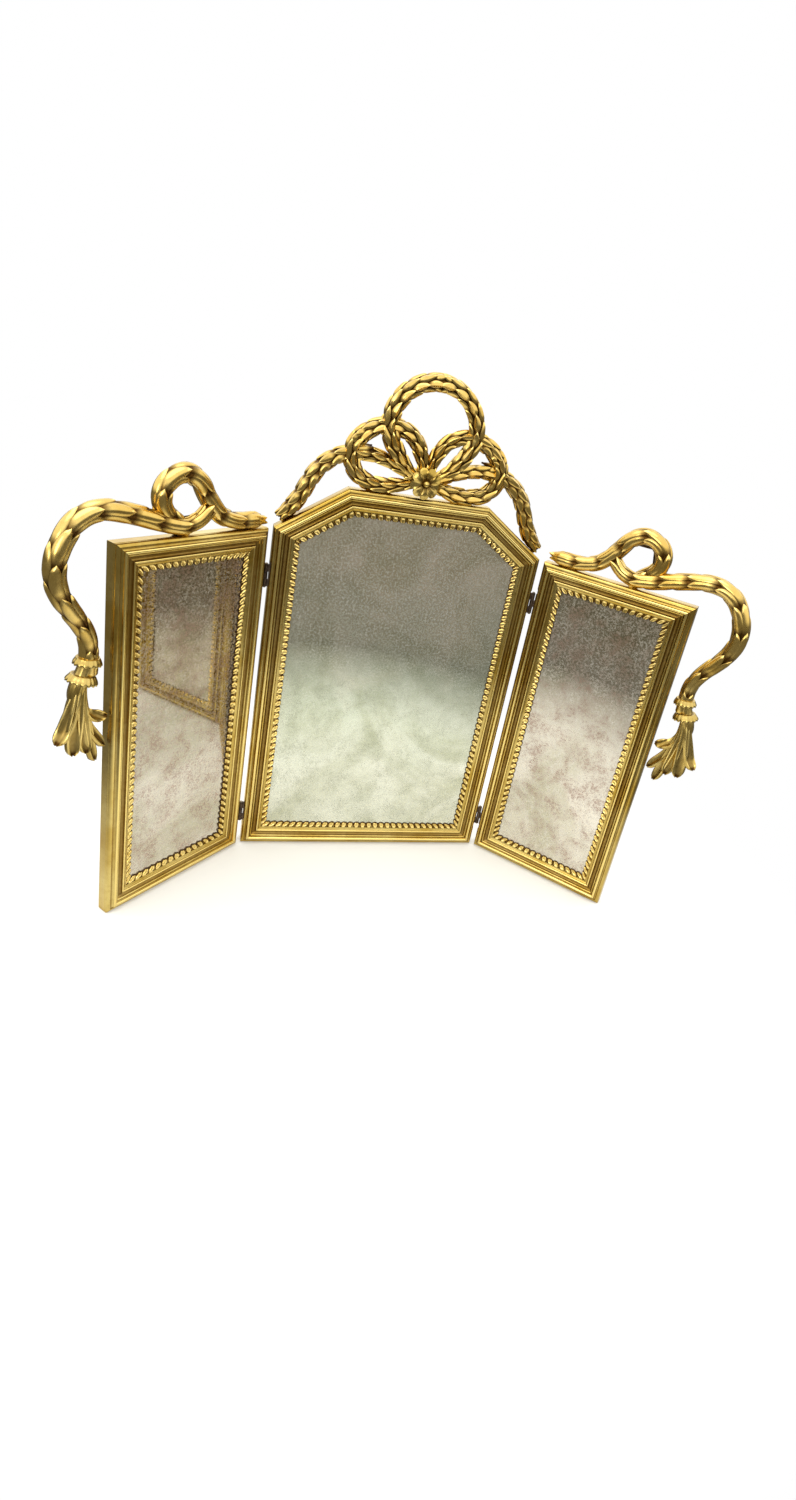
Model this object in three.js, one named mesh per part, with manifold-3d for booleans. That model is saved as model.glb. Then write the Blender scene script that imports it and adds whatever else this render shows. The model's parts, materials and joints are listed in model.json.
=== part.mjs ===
// A gilt three-panel dressing mirror: a clipped centre panel and two hinged wings,
// with a rope-and-bow crest on the centre and a rope scroll with a tassel on each wing.
// Units are millimetres. +X is the viewer's right, +Y points away from the viewer, +Z is up.
// Depths are counted backwards from the crest plane, the plane of each panel's front-most fillet.

import * as THREE from 'three';
import { mergeVertices } from 'three/addons/utils/BufferGeometryUtils.js';
import Module from 'manifold-3d';

const wasm = await Module();
wasm.setup();

// ---------------------------------------------------------------- driving dimensions

const CREST_WIDTH = 450;          // centre panel, measured between its crest lines
const CREST_SIDE_HEIGHT = 610.6;  // centre panel, bottom crest line to the clipped corner
const CREST_TOP_HEIGHT = 683.7;   // centre panel, bottom crest line to the top crest line
const CLIP_RUN = 105.8;           // how far each clipped corner reaches inwards
const WING_CREST_WIDTH = 253;
const WING_CREST_HEIGHT = 603;
const WING_REST_DEG = 42;         // each wing stands this far forward of flat

const EDGE = 12.5;                // crest line to the outer face of the moulding
const FRAME_DEPTH = 28;
const MITRE_GAP = 0.2;            // each mitred end stops this far short of the joint
const GAP = 0.3;                  // between pieces that touch

const RABBET_EDGE = 14.5;         // the rabbet starts this far inside the crest line
const RABBET_DEPTH = 9.3;
const LIP_END = 23.6;
const SIGHT_EDGE = 33.5;          // inner edge of the beaded slip
const SLIP_TOP = 8.2;             // depth of the beads' crowns
const GLASS_FRONT = 12.3;
const GLASS_THICKNESS = 3;
const BOARD_THICKNESS = 5;
const REBATE_PLAY = 0.5;          // side play of slip, glass and board in the rabbet

const PIN_OUT = 17.8;             // hinge axis, outside the crest line
const PIN_BACK = 10;              // hinge axis, behind the crest plane
const HINGE_HEIGHTS = { lower: 71, upper: 545.5 };
const HINGE_HEIGHT = 39;
const BARREL_RADIUS = 3.6;
const PIN_RADIUS = 1.6;
const PIN_HEAD_RADIUS = 2.5;
const PIN_HEAD_HEIGHT = 2;
const LEAF_THICKNESS = 1.6;
const LEAF_REACH = 16;            // from the axis back along the frame's side
const LEAF_PLAY = 0.1;            // the leaf lies this far under the wood's face
const MIDDLE_KNUCKLE = 12.6;
const SCREW_SPREAD = 12;          // screws above and below the leaf's middle
const SCREW_BACK = 9.5;           // screws behind the axis
const SCREW_RADIUS = 1.3;
const SCREW_HEAD_RADIUS = 2.9;
const SCREW_LENGTH = 11;
const SCREW_SIDES = 8;
const BARREL_SIDES = 16;

const ROPE_DEPTH = 13;            // depth of the bow's centrelines
const ROPE_SIDES = 8;
const ROPE_STEP = 15;             // length of one straight stretch of a rope

const BOW_LOOP_RADIUS = 73.5;
const BOW_LOOP_HEIGHT = 809.3;    // loop centre above the bottom crest line
const BOW_ROPE_RADIUS = 12.5;
const ROSETTE_HEIGHT = 723;
const ROSETTE_RADIUS = 27;
const ROSETTE_BACK = 3;           // depth of the rosette's flat back
const ROSETTE_PETALS = 8;
const PETAL_LENGTH = 11;          // half of each petal, along, across and through
const PETAL_WIDTH = 6.5;
const PETAL_BULGE = 4.5;
const BUTTON_RADIUS = 8;
const ROSETTE_PLATE_RADIUS = 14;
const ROSETTE_PLATE_THICKNESS = 6;
const ROPE_AT_ROSETTE = 9;        // the ropes thin to this radius under the rosette

const SCROLL_RADIUS = 13.6;
const SCROLL_CUT_RADIUS = 11;     // at the long strand's cut end, inside the loop
const SCROLL_END_RADIUS = 12;     // where the long strand enters the tassel
const SHORT_END_RADIUS = 8;       // at the short strand's end by the hinge
const SWAG_RADIUS = 12.2;
const SWAG_START_RADIUS = 11;
const SWAG_FOOT_RADIUS = 8.6;
const LOBE_ROOT_RADIUS = 5;
const LOBE_RADIUS = 8.5;
const LOBE_TIP_RADIUS = 5.5;

const CUTTER_SIZE = 400;          // larger than any piece that a cutter trims

// ---------------------------------------------------------------- materials

const gilt = () => new THREE.MeshStandardMaterial({ color: 0xb08a3c, roughness: 0.32, metalness: 0.9 });
const paleGilt = () => new THREE.MeshStandardMaterial({ color: 0xc8ab66, roughness: 0.35, metalness: 0.85 });
const bronze = () => new THREE.MeshStandardMaterial({ color: 0x3a2a1e, roughness: 0.5, metalness: 0.8 });
const steel = () => new THREE.MeshStandardMaterial({ color: 0x6a6258, roughness: 0.4, metalness: 0.9 });
const silvering = () => new THREE.MeshStandardMaterial({ color: 0x9a9c88, roughness: 0.08, metalness: 1 });
const pine = () => new THREE.MeshStandardMaterial({ color: 0x8a6238, roughness: 0.75, metalness: 0 });

const named = (name, geometry, material) => {
  const mesh = new THREE.Mesh(geometry, material);
  mesh.name = name;
  return mesh;
};

// ---------------------------------------------------------------- solids

// Turns a closed three.js mesh into a manifold solid, and back.
function solidOf(geometry) {
  const bare = geometry.clone();
  bare.deleteAttribute('normal');
  bare.deleteAttribute('uv');
  const merged = mergeVertices(bare, 1e-4);
  return new wasm.Manifold(new wasm.Mesh({
    numProp: 3,
    vertProperties: new Float32Array(merged.attributes.position.array),
    triVerts: new Uint32Array(merged.index.array),
  }));
}

function geometryOf(solid) {
  const mesh = solid.getMesh();
  const geometry = new THREE.BufferGeometry();
  geometry.setAttribute('position', new THREE.BufferAttribute(new Float32Array(mesh.vertProperties), 3));
  geometry.setIndex(new THREE.BufferAttribute(new Uint32Array(mesh.triVerts), 1));
  return geometry;
}

const joined = (geometries) => geometryOf(geometries.map(solidOf).reduce((sum, next) => sum.add(next)));

const cutBy = (geometry, cutters) =>
  geometryOf(cutters.map(solidOf).reduce((rest, cutter) => rest.subtract(cutter), solidOf(geometry)));

function boxBetween(low, high) {
  const size = new THREE.Vector3().subVectors(high, low);
  const box = new THREE.BoxGeometry(size.x, size.y, size.z);
  return box.translate(low.x + size.x / 2, low.y + size.y / 2, low.z + size.z / 2);
}

// A cylinder or cone along X, from x0 to x1, with its radius at each end.
function coneAlongX(x0, x1, r0, r1, y, z) {
  const cone = new THREE.CylinderGeometry(r1, r0, Math.abs(x1 - x0), SCREW_SIDES);
  cone.rotateZ(x1 > x0 ? -Math.PI / 2 : Math.PI / 2);
  return cone.translate((x0 + x1) / 2, y, z);
}

// ---------------------------------------------------------------- panel outlines

// Outlines are crest lines as seen from the front, counter-clockwise, as Vector2(x, z).
const rectangle = (x0, x1, z0, z1) => [
  new THREE.Vector2(x0, z0), new THREE.Vector2(x1, z0),
  new THREE.Vector2(x1, z1), new THREE.Vector2(x0, z1),
];

// The three values that place a member on edge i: its start, its direction and its inward normal,
// with the mitre factors of its two ends.
function edgeOf(outline, i) {
  const count = outline.length;
  const before = outline[(i + count - 1) % count];
  const start = outline[i];
  const end = outline[(i + 1) % count];
  const after = outline[(i + 2) % count];
  const along = new THREE.Vector2().subVectors(end, start).normalize();
  const inward = new THREE.Vector2(-along.y, along.x);
  const mitre = (a, b, c) => {
    const u = new THREE.Vector2().subVectors(a, b).normalize();
    const v = new THREE.Vector2().subVectors(c, b).normalize();
    return 1 / Math.tan(Math.acos(u.dot(v)) / 2);
  };
  return { start, end, along, inward, startMitre: mitre(before, start, end), endMitre: mitre(start, end, after) };
}

const inset = (outline, distance) => outline.map((corner, i) => {
  const { along, inward, startMitre } = edgeOf(outline, i);
  return corner.clone().addScaledVector(along, distance * startMitre).addScaledVector(inward, distance);
});

// ---------------------------------------------------------------- moulding

// The frame moulding's section, as (distance inside the crest line, depth).
function mouldingSection() {
  const section = new THREE.Shape();
  section.moveTo(RABBET_EDGE, FRAME_DEPTH);
  section.lineTo(-EDGE, FRAME_DEPTH);
  section.lineTo(-EDGE, 11.7);                                  // flat outer face
  section.lineTo(-EDGE + 0.8, 11.2);                            // quirk under the ovolo
  section.lineTo(-EDGE, 10.6);
  section.bezierCurveTo(-EDGE, 7.2, -9.8, 4.7, -6.7, 4.7);      // ovolo
  section.lineTo(-6.2, 5.2);
  section.bezierCurveTo(-4, 5.1, -2.5, 3.6, -2.3, 1.2);         // outer hollow
  section.bezierCurveTo(-1.6, -0.4, 1.6, -0.4, 2.3, 1.2);       // crest
  section.lineTo(3.6, 4.6);
  section.bezierCurveTo(4.2, 3.2, 6.5, 3.2, 7, 5.4);            // reed
  section.bezierCurveTo(8, 10, 13.6, 10, 15, 5.4);              // dark cove
  section.bezierCurveTo(15.4, 3.9, 17.6, 3.9, 18.1, 5);         // second fillet
  section.lineTo(18.3, 5.8);
  section.bezierCurveTo(20, 7.4, 21.6, 8, LIP_END, 8.2);        // lip
  section.lineTo(LIP_END, RABBET_DEPTH);
  section.lineTo(RABBET_EDGE, RABBET_DEPTH);
  return section;
}

// The beaded slip's section: a flange under the lip and a crowned band inside it.
function slipSection() {
  const band = LIP_END + GAP;
  const section = new THREE.Shape();
  section.moveTo(RABBET_EDGE + REBATE_PLAY, RABBET_DEPTH + GAP);
  section.lineTo(band, RABBET_DEPTH + GAP);
  section.lineTo(band, SLIP_TOP + 1);
  section.bezierCurveTo(band + 2, SLIP_TOP, SIGHT_EDGE - 2, SLIP_TOP, SIGHT_EDGE, SLIP_TOP + 1.4);
  section.lineTo(SIGHT_EDGE, GLASS_FRONT - GAP);
  section.lineTo(RABBET_EDGE + REBATE_PLAY, GLASS_FRONT - GAP);
  return section;
}

// One length of moulding on edge i of an outline, mitred at both ends.
function mitredMember(outline, i) {
  const { start, end, along, inward, startMitre, endMitre } = edgeOf(outline, i);
  const geometry = new THREE.ExtrudeGeometry(mouldingSection(), { depth: 1, bevelEnabled: false, curveSegments: 5 });
  const position = geometry.attributes.position;
  for (let k = 0; k < position.count; k += 1) {
    const inside = position.getX(k);
    const depth = position.getY(k);
    const atStart = position.getZ(k) > 0.5;
    const corner = atStart ? start : end;
    const shift = atStart ? inside * startMitre + MITRE_GAP : -inside * endMitre - MITRE_GAP;
    const place = corner.clone().addScaledVector(along, shift).addScaledVector(inward, inside);
    position.setXYZ(k, place.x, depth, place.y);
  }
  return geometry;
}

// A closed ring with the given section that runs round the whole outline.
function ringMoulding(outline, shape) {
  const points = shape.getPoints(4);
  if (THREE.ShapeUtils.area(points) < 0) points.reverse();
  const rows = points.map((point) => inset(outline, point.x).map((corner) => [corner.x, point.y, corner.y]));
  const corners = outline.length;
  const index = [];
  for (let j = 0; j < rows.length; j += 1) {
    const next = (j + 1) % rows.length;
    for (let i = 0; i < corners; i += 1) {
      const turn = (i + 1) % corners;
      const [a, b, c, d] = [j * corners + i, j * corners + turn, next * corners + turn, next * corners + i];
      index.push(a, b, c, a, c, d);
    }
  }
  const geometry = new THREE.BufferGeometry();
  geometry.setAttribute('position', new THREE.Float32BufferAttribute(rows.flat(2), 3));
  geometry.setIndex(index);
  return geometry;
}

// A flat sheet that fills the outline, from one depth to another.
function sheet(outline, distance, depth, thickness) {
  const shape = new THREE.Shape(inset(outline, distance));
  const geometry = new THREE.ExtrudeGeometry(shape, { depth: thickness, bevelEnabled: false });
  return geometry.rotateX(Math.PI / 2).translate(0, depth + thickness, 0);
}

// ---------------------------------------------------------------- hinges

// Everything about a hinge is laid out on the axis, with `out` = +1 or -1 the way from the leaf's
// own frame to the axis. The leaf lies in a shallow mortise in the frame's outer face.
const FACE_TO_AXIS = PIN_OUT - EDGE;

function hingeLeaf(out, knuckles) {
  const face = -out * (FACE_TO_AXIS + LEAF_PLAY);
  const back = face - out * LEAF_THICKNESS;
  const half = HINGE_HEIGHT / 2;
  const span = (x0, x1) => [Math.min(x0, x1), Math.max(x0, x1)];
  const [plate0, plate1] = span(face, back);
  const plate = boxBetween(new THREE.Vector3(plate0, -LEAF_THICKNESS, -half), new THREE.Vector3(plate1, LEAF_REACH, half));
  const pieces = [plate];
  for (const [low, high] of knuckles) {
    const barrel = new THREE.CylinderGeometry(BARREL_RADIUS, BARREL_RADIUS, high - low, BARREL_SIDES);
    pieces.push(barrel.rotateX(Math.PI / 2).translate(0, 0, (low + high) / 2));
    const [web0, web1] = span(-out * (BARREL_RADIUS * 0.5), back);
    pieces.push(boxBetween(new THREE.Vector3(web0, -LEAF_THICKNESS, low), new THREE.Vector3(web1, LEAF_THICKNESS, high)));
  }
  const boreRadius = PIN_RADIUS + GAP;
  const bore = new THREE.CylinderGeometry(boreRadius, boreRadius, HINGE_HEIGHT * 2, BARREL_SIDES).rotateX(Math.PI / 2);
  const holes = [-SCREW_SPREAD, SCREW_SPREAD].map((z) => coneAlongX(
    face + out * GAP, back - out * GAP, SCREW_HEAD_RADIUS + 2 * GAP, SCREW_RADIUS + GAP, SCREW_BACK, z));
  return cutBy(joined(pieces), [bore, ...holes]);
}

// The centre panel's leaf carries the two outer knuckles, the wing's leaf the middle one.
const outerKnuckles = [
  [-HINGE_HEIGHT / 2, -MIDDLE_KNUCKLE / 2 - GAP],
  [MIDDLE_KNUCKLE / 2 + GAP, HINGE_HEIGHT / 2],
];
const middleKnuckle = [[-MIDDLE_KNUCKLE / 2, MIDDLE_KNUCKLE / 2]];

function hingeScrew(out) {
  const face = -out * (FACE_TO_AXIS + LEAF_PLAY);
  const neck = face - out * LEAF_THICKNESS;
  const tip = face - out * SCREW_LENGTH;
  const head = coneAlongX(face, neck, SCREW_HEAD_RADIUS, SCREW_RADIUS, SCREW_BACK, 0);
  const shank = coneAlongX(neck + out * 0.2, tip + out * 3, SCREW_RADIUS, SCREW_RADIUS, SCREW_BACK, 0);
  const point = coneAlongX(tip + out * 3.2, tip, SCREW_RADIUS, 0.3, SCREW_BACK, 0);
  return joined([head, shank, point]);
}

function hingePin() {
  const half = HINGE_HEIGHT / 2 + GAP;
  const end = half + PIN_HEAD_HEIGHT;
  const profile = [
    [0, -end], [PIN_HEAD_RADIUS * 0.6, -end], [PIN_HEAD_RADIUS, -end + 0.8], [PIN_HEAD_RADIUS, -half],
    [PIN_RADIUS, -half], [PIN_RADIUS, half],
    [PIN_HEAD_RADIUS, half], [PIN_HEAD_RADIUS, end - 0.8], [PIN_HEAD_RADIUS * 0.6, end], [0, end],
  ].map(([radius, height]) => new THREE.Vector2(radius, height));
  return new THREE.LatheGeometry(profile, 10).rotateX(Math.PI / 2);
}

// The mortise and screw holes that a leaf needs, as cutters in the panel's own coordinates.
function hingeCutters(out, axis) {
  const floor = -out * (FACE_TO_AXIS + LEAF_PLAY + LEAF_THICKNESS + GAP);
  const open = out * 2;
  const half = HINGE_HEIGHT / 2 + GAP;
  const cutters = [];
  for (const height of Object.values(HINGE_HEIGHTS)) {
    const mortise = boxBetween(
      new THREE.Vector3(Math.min(floor, open), -PIN_BACK, -half),
      new THREE.Vector3(Math.max(floor, open), LEAF_REACH + GAP, half));
    const tip = -out * (FACE_TO_AXIS + SCREW_LENGTH + 1);
    const holes = [-SCREW_SPREAD, SCREW_SPREAD].map((z) =>
      coneAlongX(floor + out, tip, SCREW_RADIUS + GAP, SCREW_RADIUS + GAP, SCREW_BACK, z));
    for (const cutter of [mortise, ...holes]) cutters.push(cutter.translate(axis.x, axis.y, height));
  }
  return cutters;
}

// ---------------------------------------------------------------- panels

// Frame members, slip, glass and backing board of one panel. `names` gives each edge's member;
// `hinged` maps a member's name to its leaf direction and its axis.
function panel(prefix, outline, names, hinged) {
  const group = new THREE.Group();
  names.forEach((name, i) => {
    const member = mitredMember(outline, i);
    const hinge = hinged[name];
    group.add(named(`${prefix}_${name}`, hinge ? cutBy(member, hingeCutters(hinge.out, hinge.axis)) : member, gilt()));
  });
  const rabbet = RABBET_EDGE + REBATE_PLAY;
  const boardFront = GLASS_FRONT + GLASS_THICKNESS + GAP;
  group.add(named(`${prefix}_beaded_slip`, ringMoulding(outline, slipSection()), paleGilt()));
  group.add(named(`${prefix}_mirror_glass`, sheet(outline, rabbet, GLASS_FRONT, GLASS_THICKNESS), silvering()));
  group.add(named(`${prefix}_backing_board`, sheet(outline, rabbet, boardFront, BOARD_THICKNESS), pine()));
  return group;
}

// ---------------------------------------------------------------- carved ropes

// A rope along a route in the panel's plane. `radius` is a function of the way along it, 0 to 1.
function rope(route, radius) {
  const steps = Math.max(4, Math.round(route.getLength() / ROPE_STEP));
  const circle = new THREE.Shape();
  for (let k = 0; k < ROPE_SIDES; k += 1) {
    const angle = (2 * Math.PI * (k + 0.5)) / ROPE_SIDES;
    if (k === 0) circle.moveTo(Math.cos(angle), Math.sin(angle));
    else circle.lineTo(Math.cos(angle), Math.sin(angle));
  }
  const geometry = new THREE.ExtrudeGeometry(circle, { depth: 1, steps, bevelEnabled: false, curveSegments: 1 });
  const position = geometry.attributes.position;
  const back = new THREE.Vector3(0, 1, 0);
  for (let k = 0; k < position.count; k += 1) {
    const way = THREE.MathUtils.clamp(position.getZ(k), 0, 1);
    const tangent = route.getTangentAt(way);
    const across = new THREE.Vector3().crossVectors(back, tangent).normalize();
    const up = new THREE.Vector3().crossVectors(tangent, across);
    const place = route.getPointAt(way)
      .addScaledVector(across, position.getX(k) * radius(way))
      .addScaledVector(up, position.getY(k) * radius(way));
    position.setXYZ(k, place.x, place.y, place.z);
  }
  return geometry;
}

const routeThrough = (points) =>
  new THREE.CatmullRomCurve3(points.map(([x, z, y = ROPE_DEPTH]) => new THREE.Vector3(x, y, z)), false, 'centripetal');

// Raises an (x, z) point list from crest-line heights to heights above the panel's underside.
const lifted = (points) => points.map(([x, z, y]) => [x, z + EDGE, y]);

const smooth = (edge0, edge1, value) => THREE.MathUtils.smoothstep(value, edge0, edge1);

// A large block under a sloping or level face, used to cut a rope flat where it sits on a frame.
function blockUnder(point, slope, depth) {
  const block = new THREE.BoxGeometry(CUTTER_SIZE, CUTTER_SIZE, CUTTER_SIZE).translate(0, 0, -CUTTER_SIZE / 2);
  return block.rotateY(-slope).translate(point.x, depth, point.y);
}

// ---------------------------------------------------------------- centre crest

// The top loop with its two legs, which cross in front of the side loops and meet at the rosette.
function topLoopRoute() {
  const legs = [[12, 727, 13], [29, 738, 12], [44, 752, 11], [57, 768, 10.5], [67, 785, 10.5]];
  const arc = [];
  const steps = 12;
  for (let k = 0; k <= steps; k += 1) {
    const angle = THREE.MathUtils.degToRad(-6 + (192 * k) / steps);
    arc.push([BOW_LOOP_RADIUS * Math.cos(angle), BOW_LOOP_HEIGHT + BOW_LOOP_RADIUS * Math.sin(angle), ROPE_DEPTH]);
  }
  const otherLeg = legs.map(([x, z, y]) => [-x, z, y]).reverse();
  return routeThrough(lifted([...legs, ...arc, ...otherLeg]));
}

const sideLoop = [
  [4, 733, 13], [9, 757, 13], [18, 777, 14], [30, 792, 15], [46, 801, 16], [63, 805, 16], [82, 803, 16],
  [101, 795, 15], [117, 781, 13], [127, 763, 12], [127, 743, 12], [119, 726, 12], [104, 714, 13],
  [84, 709, 13], [62, 709, 13], [40, 713, 13], [16, 720, 13],
];
const innerTail = [[14, 727, 13], [42, 739, 14], [68, 749, 15], [94, 754, 17], [120, 754, 17]];
const outerTail = [
  [122, 754, 17], [137, 750, 16], [151, 743, 16], [164, 733, 16], [178, 718, 16], [189, 698, 16],
  [198, 677, 16], [208, 659, 16], [219, 645, 16], [228, 636, 16],
];
const toSide = (points, side) => lifted(points).map(([x, z, y]) => [side * x, z, y]);

// A loop's radius: full for most of its length, thinner at both ends, under the rosette.
const loopRadius = (full) => (way) =>
  ROPE_AT_ROSETTE + (full - ROPE_AT_ROSETTE) * smooth(0.04, 0.14, way) * smooth(0.04, 0.14, 1 - way);
const SIDE_LOOP_RADIUS = BOW_ROPE_RADIUS - 0.8;
const tailRadius = (way) => ROPE_AT_ROSETTE + 2 * way;
const swagRadius = (way) => SWAG_START_RADIUS + (SWAG_RADIUS - SWAG_START_RADIUS) * smooth(0, 0.3, way)
  - (SWAG_RADIUS - SWAG_FOOT_RADIUS) * smooth(0.86, 1, way);

function bow() {
  const seat = new THREE.Vector2(0, CREST_TOP_HEIGHT + 2 * EDGE + GAP);
  const loops = [rope(topLoopRoute(), loopRadius(BOW_ROPE_RADIUS))];
  for (const side of [-1, 1]) {
    loops.push(rope(routeThrough(toSide(sideLoop, side)), loopRadius(SIDE_LOOP_RADIUS)));
    loops.push(rope(routeThrough(toSide(innerTail, side)), tailRadius));
  }
  return cutBy(joined(loops), [blockUnder(seat, 0, FRAME_DEPTH / 2)]);
}

// A tail of the bow, from the side loop down to the foot of the clipped corner.
function swag(side) {
  const slope = Math.atan2(CREST_TOP_HEIGHT - CREST_SIDE_HEIGHT, CLIP_RUN);
  const clipFoot = new THREE.Vector2(CREST_WIDTH / 2, CREST_SIDE_HEIGHT + EDGE)
    .add(new THREE.Vector2(Math.sin(slope), Math.cos(slope)).multiplyScalar(EDGE + GAP));
  const seat = blockUnder(new THREE.Vector2(side * clipFoot.x, clipFoot.y), -side * slope, FRAME_DEPTH / 2);
  const sideFace = side * (CREST_WIDTH / 2 + EDGE);
  const farFace = sideFace + side * CUTTER_SIZE;
  const beyond = boxBetween(
    new THREE.Vector3(Math.min(sideFace, farFace), -CUTTER_SIZE, 0),
    new THREE.Vector3(Math.max(sideFace, farFace), CUTTER_SIZE, BOW_LOOP_HEIGHT));
  const body = rope(routeThrough(toSide(outerTail, side)), swagRadius);
  const loop = rope(routeThrough(toSide(sideLoop, side)), (way) => loopRadius(SIDE_LOOP_RADIUS)(way) + GAP);
  const tail = rope(routeThrough(toSide(innerTail, side)), (way) => tailRadius(way) + GAP);
  return cutBy(body, [loop, tail, seat, beyond]);
}

function rosette() {
  const petals = [];
  for (let k = 0; k < ROSETTE_PETALS; k += 1) {
    const petal = new THREE.SphereGeometry(1, 7, 5).scale(PETAL_WIDTH, PETAL_BULGE, PETAL_LENGTH);
    petal.translate(0, -ROSETTE_BACK - 2, ROSETTE_RADIUS - PETAL_LENGTH);
    petals.push(petal.rotateY((2 * Math.PI * k) / ROSETTE_PETALS));
  }
  const button = new THREE.SphereGeometry(BUTTON_RADIUS, 10, 6).scale(1, 0.8, 1).translate(0, -BUTTON_RADIUS, 0);
  const plate = new THREE.CylinderGeometry(ROSETTE_PLATE_RADIUS, ROSETTE_PLATE_RADIUS, ROSETTE_PLATE_THICKNESS, 12)
    .translate(0, -ROSETTE_PLATE_THICKNESS + 2, 0);
  const behind = boxBetween(
    new THREE.Vector3(-CUTTER_SIZE, 0, -CUTTER_SIZE), new THREE.Vector3(CUTTER_SIZE, CUTTER_SIZE, CUTTER_SIZE));
  return cutBy(joined([plate, button, ...petals]), [behind])
    .translate(0, ROSETTE_BACK, ROSETTE_HEIGHT + EDGE);
}

// ---------------------------------------------------------------- wing crest

// The short strand starts flat on the rail by the hinge, rises into the loop and comes down behind
// the long one. The long strand starts at a cut end inside the loop and sweeps out to the tassel.
// Points are (distance outwards from the wing's inner crest line, height, depth).
const shortStrand = [
  [2, 629, 14], [22, 629, 14], [42, 629, 15], [62, 632, 15], [82, 640, 16], [98, 655, 16], [112, 674, 17],
  [126, 694, 17], [147, 706, 18], [170, 701, 19], [185, 685, 20], [187, 665, 21], [178, 649, 22], [166, 639, 22],
];
const longStrand = [
  [112, 651, 12], [126, 638, 13], [148, 630, 14], [173, 633, 16], [198, 640, 18], [224, 648, 19], [250, 655, 20],
  [275, 659, 20], [298, 656, 20], [318, 644, 20], [333, 623, 20], [342, 598, 20], [343, 574, 20], [336, 551, 20],
  [323, 529, 20], [309, 508, 20], [299, 488, 20], [295, 470, 20], [295, 457, 20],
];
const tasselAxis = [
  [295, 457, 20], [295, 450, 20], [297, 442, 20], [302, 429, 20], [309, 415, 20], [313, 402, 20], [315, 386, 20],
];
const tasselLobes = [
  [[315, 394, 20], [322, 376, 19], [332, 354, 18], [339, 336, 18]],
  [[314, 394, 17], [317, 370, 14], [319, 342, 13], [320, 315, 14]],
  [[313, 394, 16], [311, 368, 13], [307, 338, 12], [303, 311, 13]],
  [[312, 392, 20], [307, 364, 17], [298, 326, 17], [291, 291, 19]],
  [[312, 390, 21], [304, 372, 20], [290, 361, 18], [271, 355, 16]],
  [[315, 392, 24], [318, 366, 28], [317, 338, 29], [312, 312, 28]],
  [[312, 392, 23], [306, 366, 26], [296, 336, 27], [286, 310, 26]],
];

const onWing = (points, side) => lifted(points).map(([u, z, y]) => [side * (PIN_OUT + u), z, y - PIN_BACK]);

const shortRadius = (way) => SHORT_END_RADIUS + 4.5 * smooth(0, 0.05, way) + smooth(0.1, 0.5, way);
const longRadius = (way) => SCROLL_CUT_RADIUS + (SCROLL_RADIUS - SCROLL_CUT_RADIUS) * smooth(0, 0.25, way)
  - (SCROLL_RADIUS - SCROLL_END_RADIUS) * smooth(0.6, 1, way);

// The space the wing's frame takes up to its outer face and top, with a margin behind the hinge.
function wingFrameBlock(side, top) {
  const margin = 50;
  const face = side * (PIN_OUT + WING_CREST_WIDTH + EDGE + GAP);
  return boxBetween(
    new THREE.Vector3(Math.min(-side * margin, face), -margin, 0),
    new THREE.Vector3(Math.max(-side * margin, face), margin, top));
}

const wingTop = WING_CREST_HEIGHT + 2 * EDGE + GAP;

function scroll(side) {
  const strands = [
    rope(routeThrough(onWing(shortStrand, side)), shortRadius),
    rope(routeThrough(onWing(longStrand, side)), longRadius),
  ];
  return cutBy(joined(strands), [wingFrameBlock(side, wingTop)]);
}

// The tassel's stem swells into two collars; each entry is (way along the stem, extra radius).
const tasselCollars = [[0.13, 8], [0.62, 10]];
const COLLAR_WIDTH = 0.055;
const stemRadius = (way) => tasselCollars.reduce(
  (radius, [middle, swell]) => radius + swell * Math.exp(-(((way - middle) / COLLAR_WIDTH) ** 2)), SCROLL_END_RADIUS);
const lobeRadius = (way) => LOBE_ROOT_RADIUS + (LOBE_RADIUS - LOBE_ROOT_RADIUS) * smooth(0, 0.6, way)
  - (LOBE_RADIUS - LOBE_TIP_RADIUS) * smooth(0.85, 1, way);

function tassel(side) {
  const axis = onWing(tasselAxis, side);
  axis[0][1] -= GAP;
  const stem = rope(routeThrough(axis), stemRadius);
  const lobes = tasselLobes.map((points) => rope(routeThrough(onWing(points, side)), lobeRadius));
  return cutBy(joined([stem, ...lobes]), [wingFrameBlock(side, wingTop)]);
}

// ---------------------------------------------------------------- assembly

const mirror = new THREE.Group();

const halfWidth = CREST_WIDTH / 2;
const clipX = halfWidth - CLIP_RUN;
const centreOutline = [
  new THREE.Vector2(-halfWidth, EDGE),
  new THREE.Vector2(halfWidth, EDGE),
  new THREE.Vector2(halfWidth, CREST_SIDE_HEIGHT + EDGE),
  new THREE.Vector2(clipX, CREST_TOP_HEIGHT + EDGE),
  new THREE.Vector2(-clipX, CREST_TOP_HEIGHT + EDGE),
  new THREE.Vector2(-halfWidth, CREST_SIDE_HEIGHT + EDGE),
];
const axisX = halfWidth + PIN_OUT;
mirror.add(panel(
  'centre', centreOutline,
  ['bottom_rail', 'right_stile', 'right_clip', 'top_rail', 'left_clip', 'left_stile'],
  {
    right_stile: { out: 1, axis: { x: axisX, y: PIN_BACK } },
    left_stile: { out: -1, axis: { x: -axisX, y: PIN_BACK } },
  }));
mirror.add(named('crest_bow', bow(), gilt()));
mirror.add(named('crest_rosette', rosette(), paleGilt()));

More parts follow.
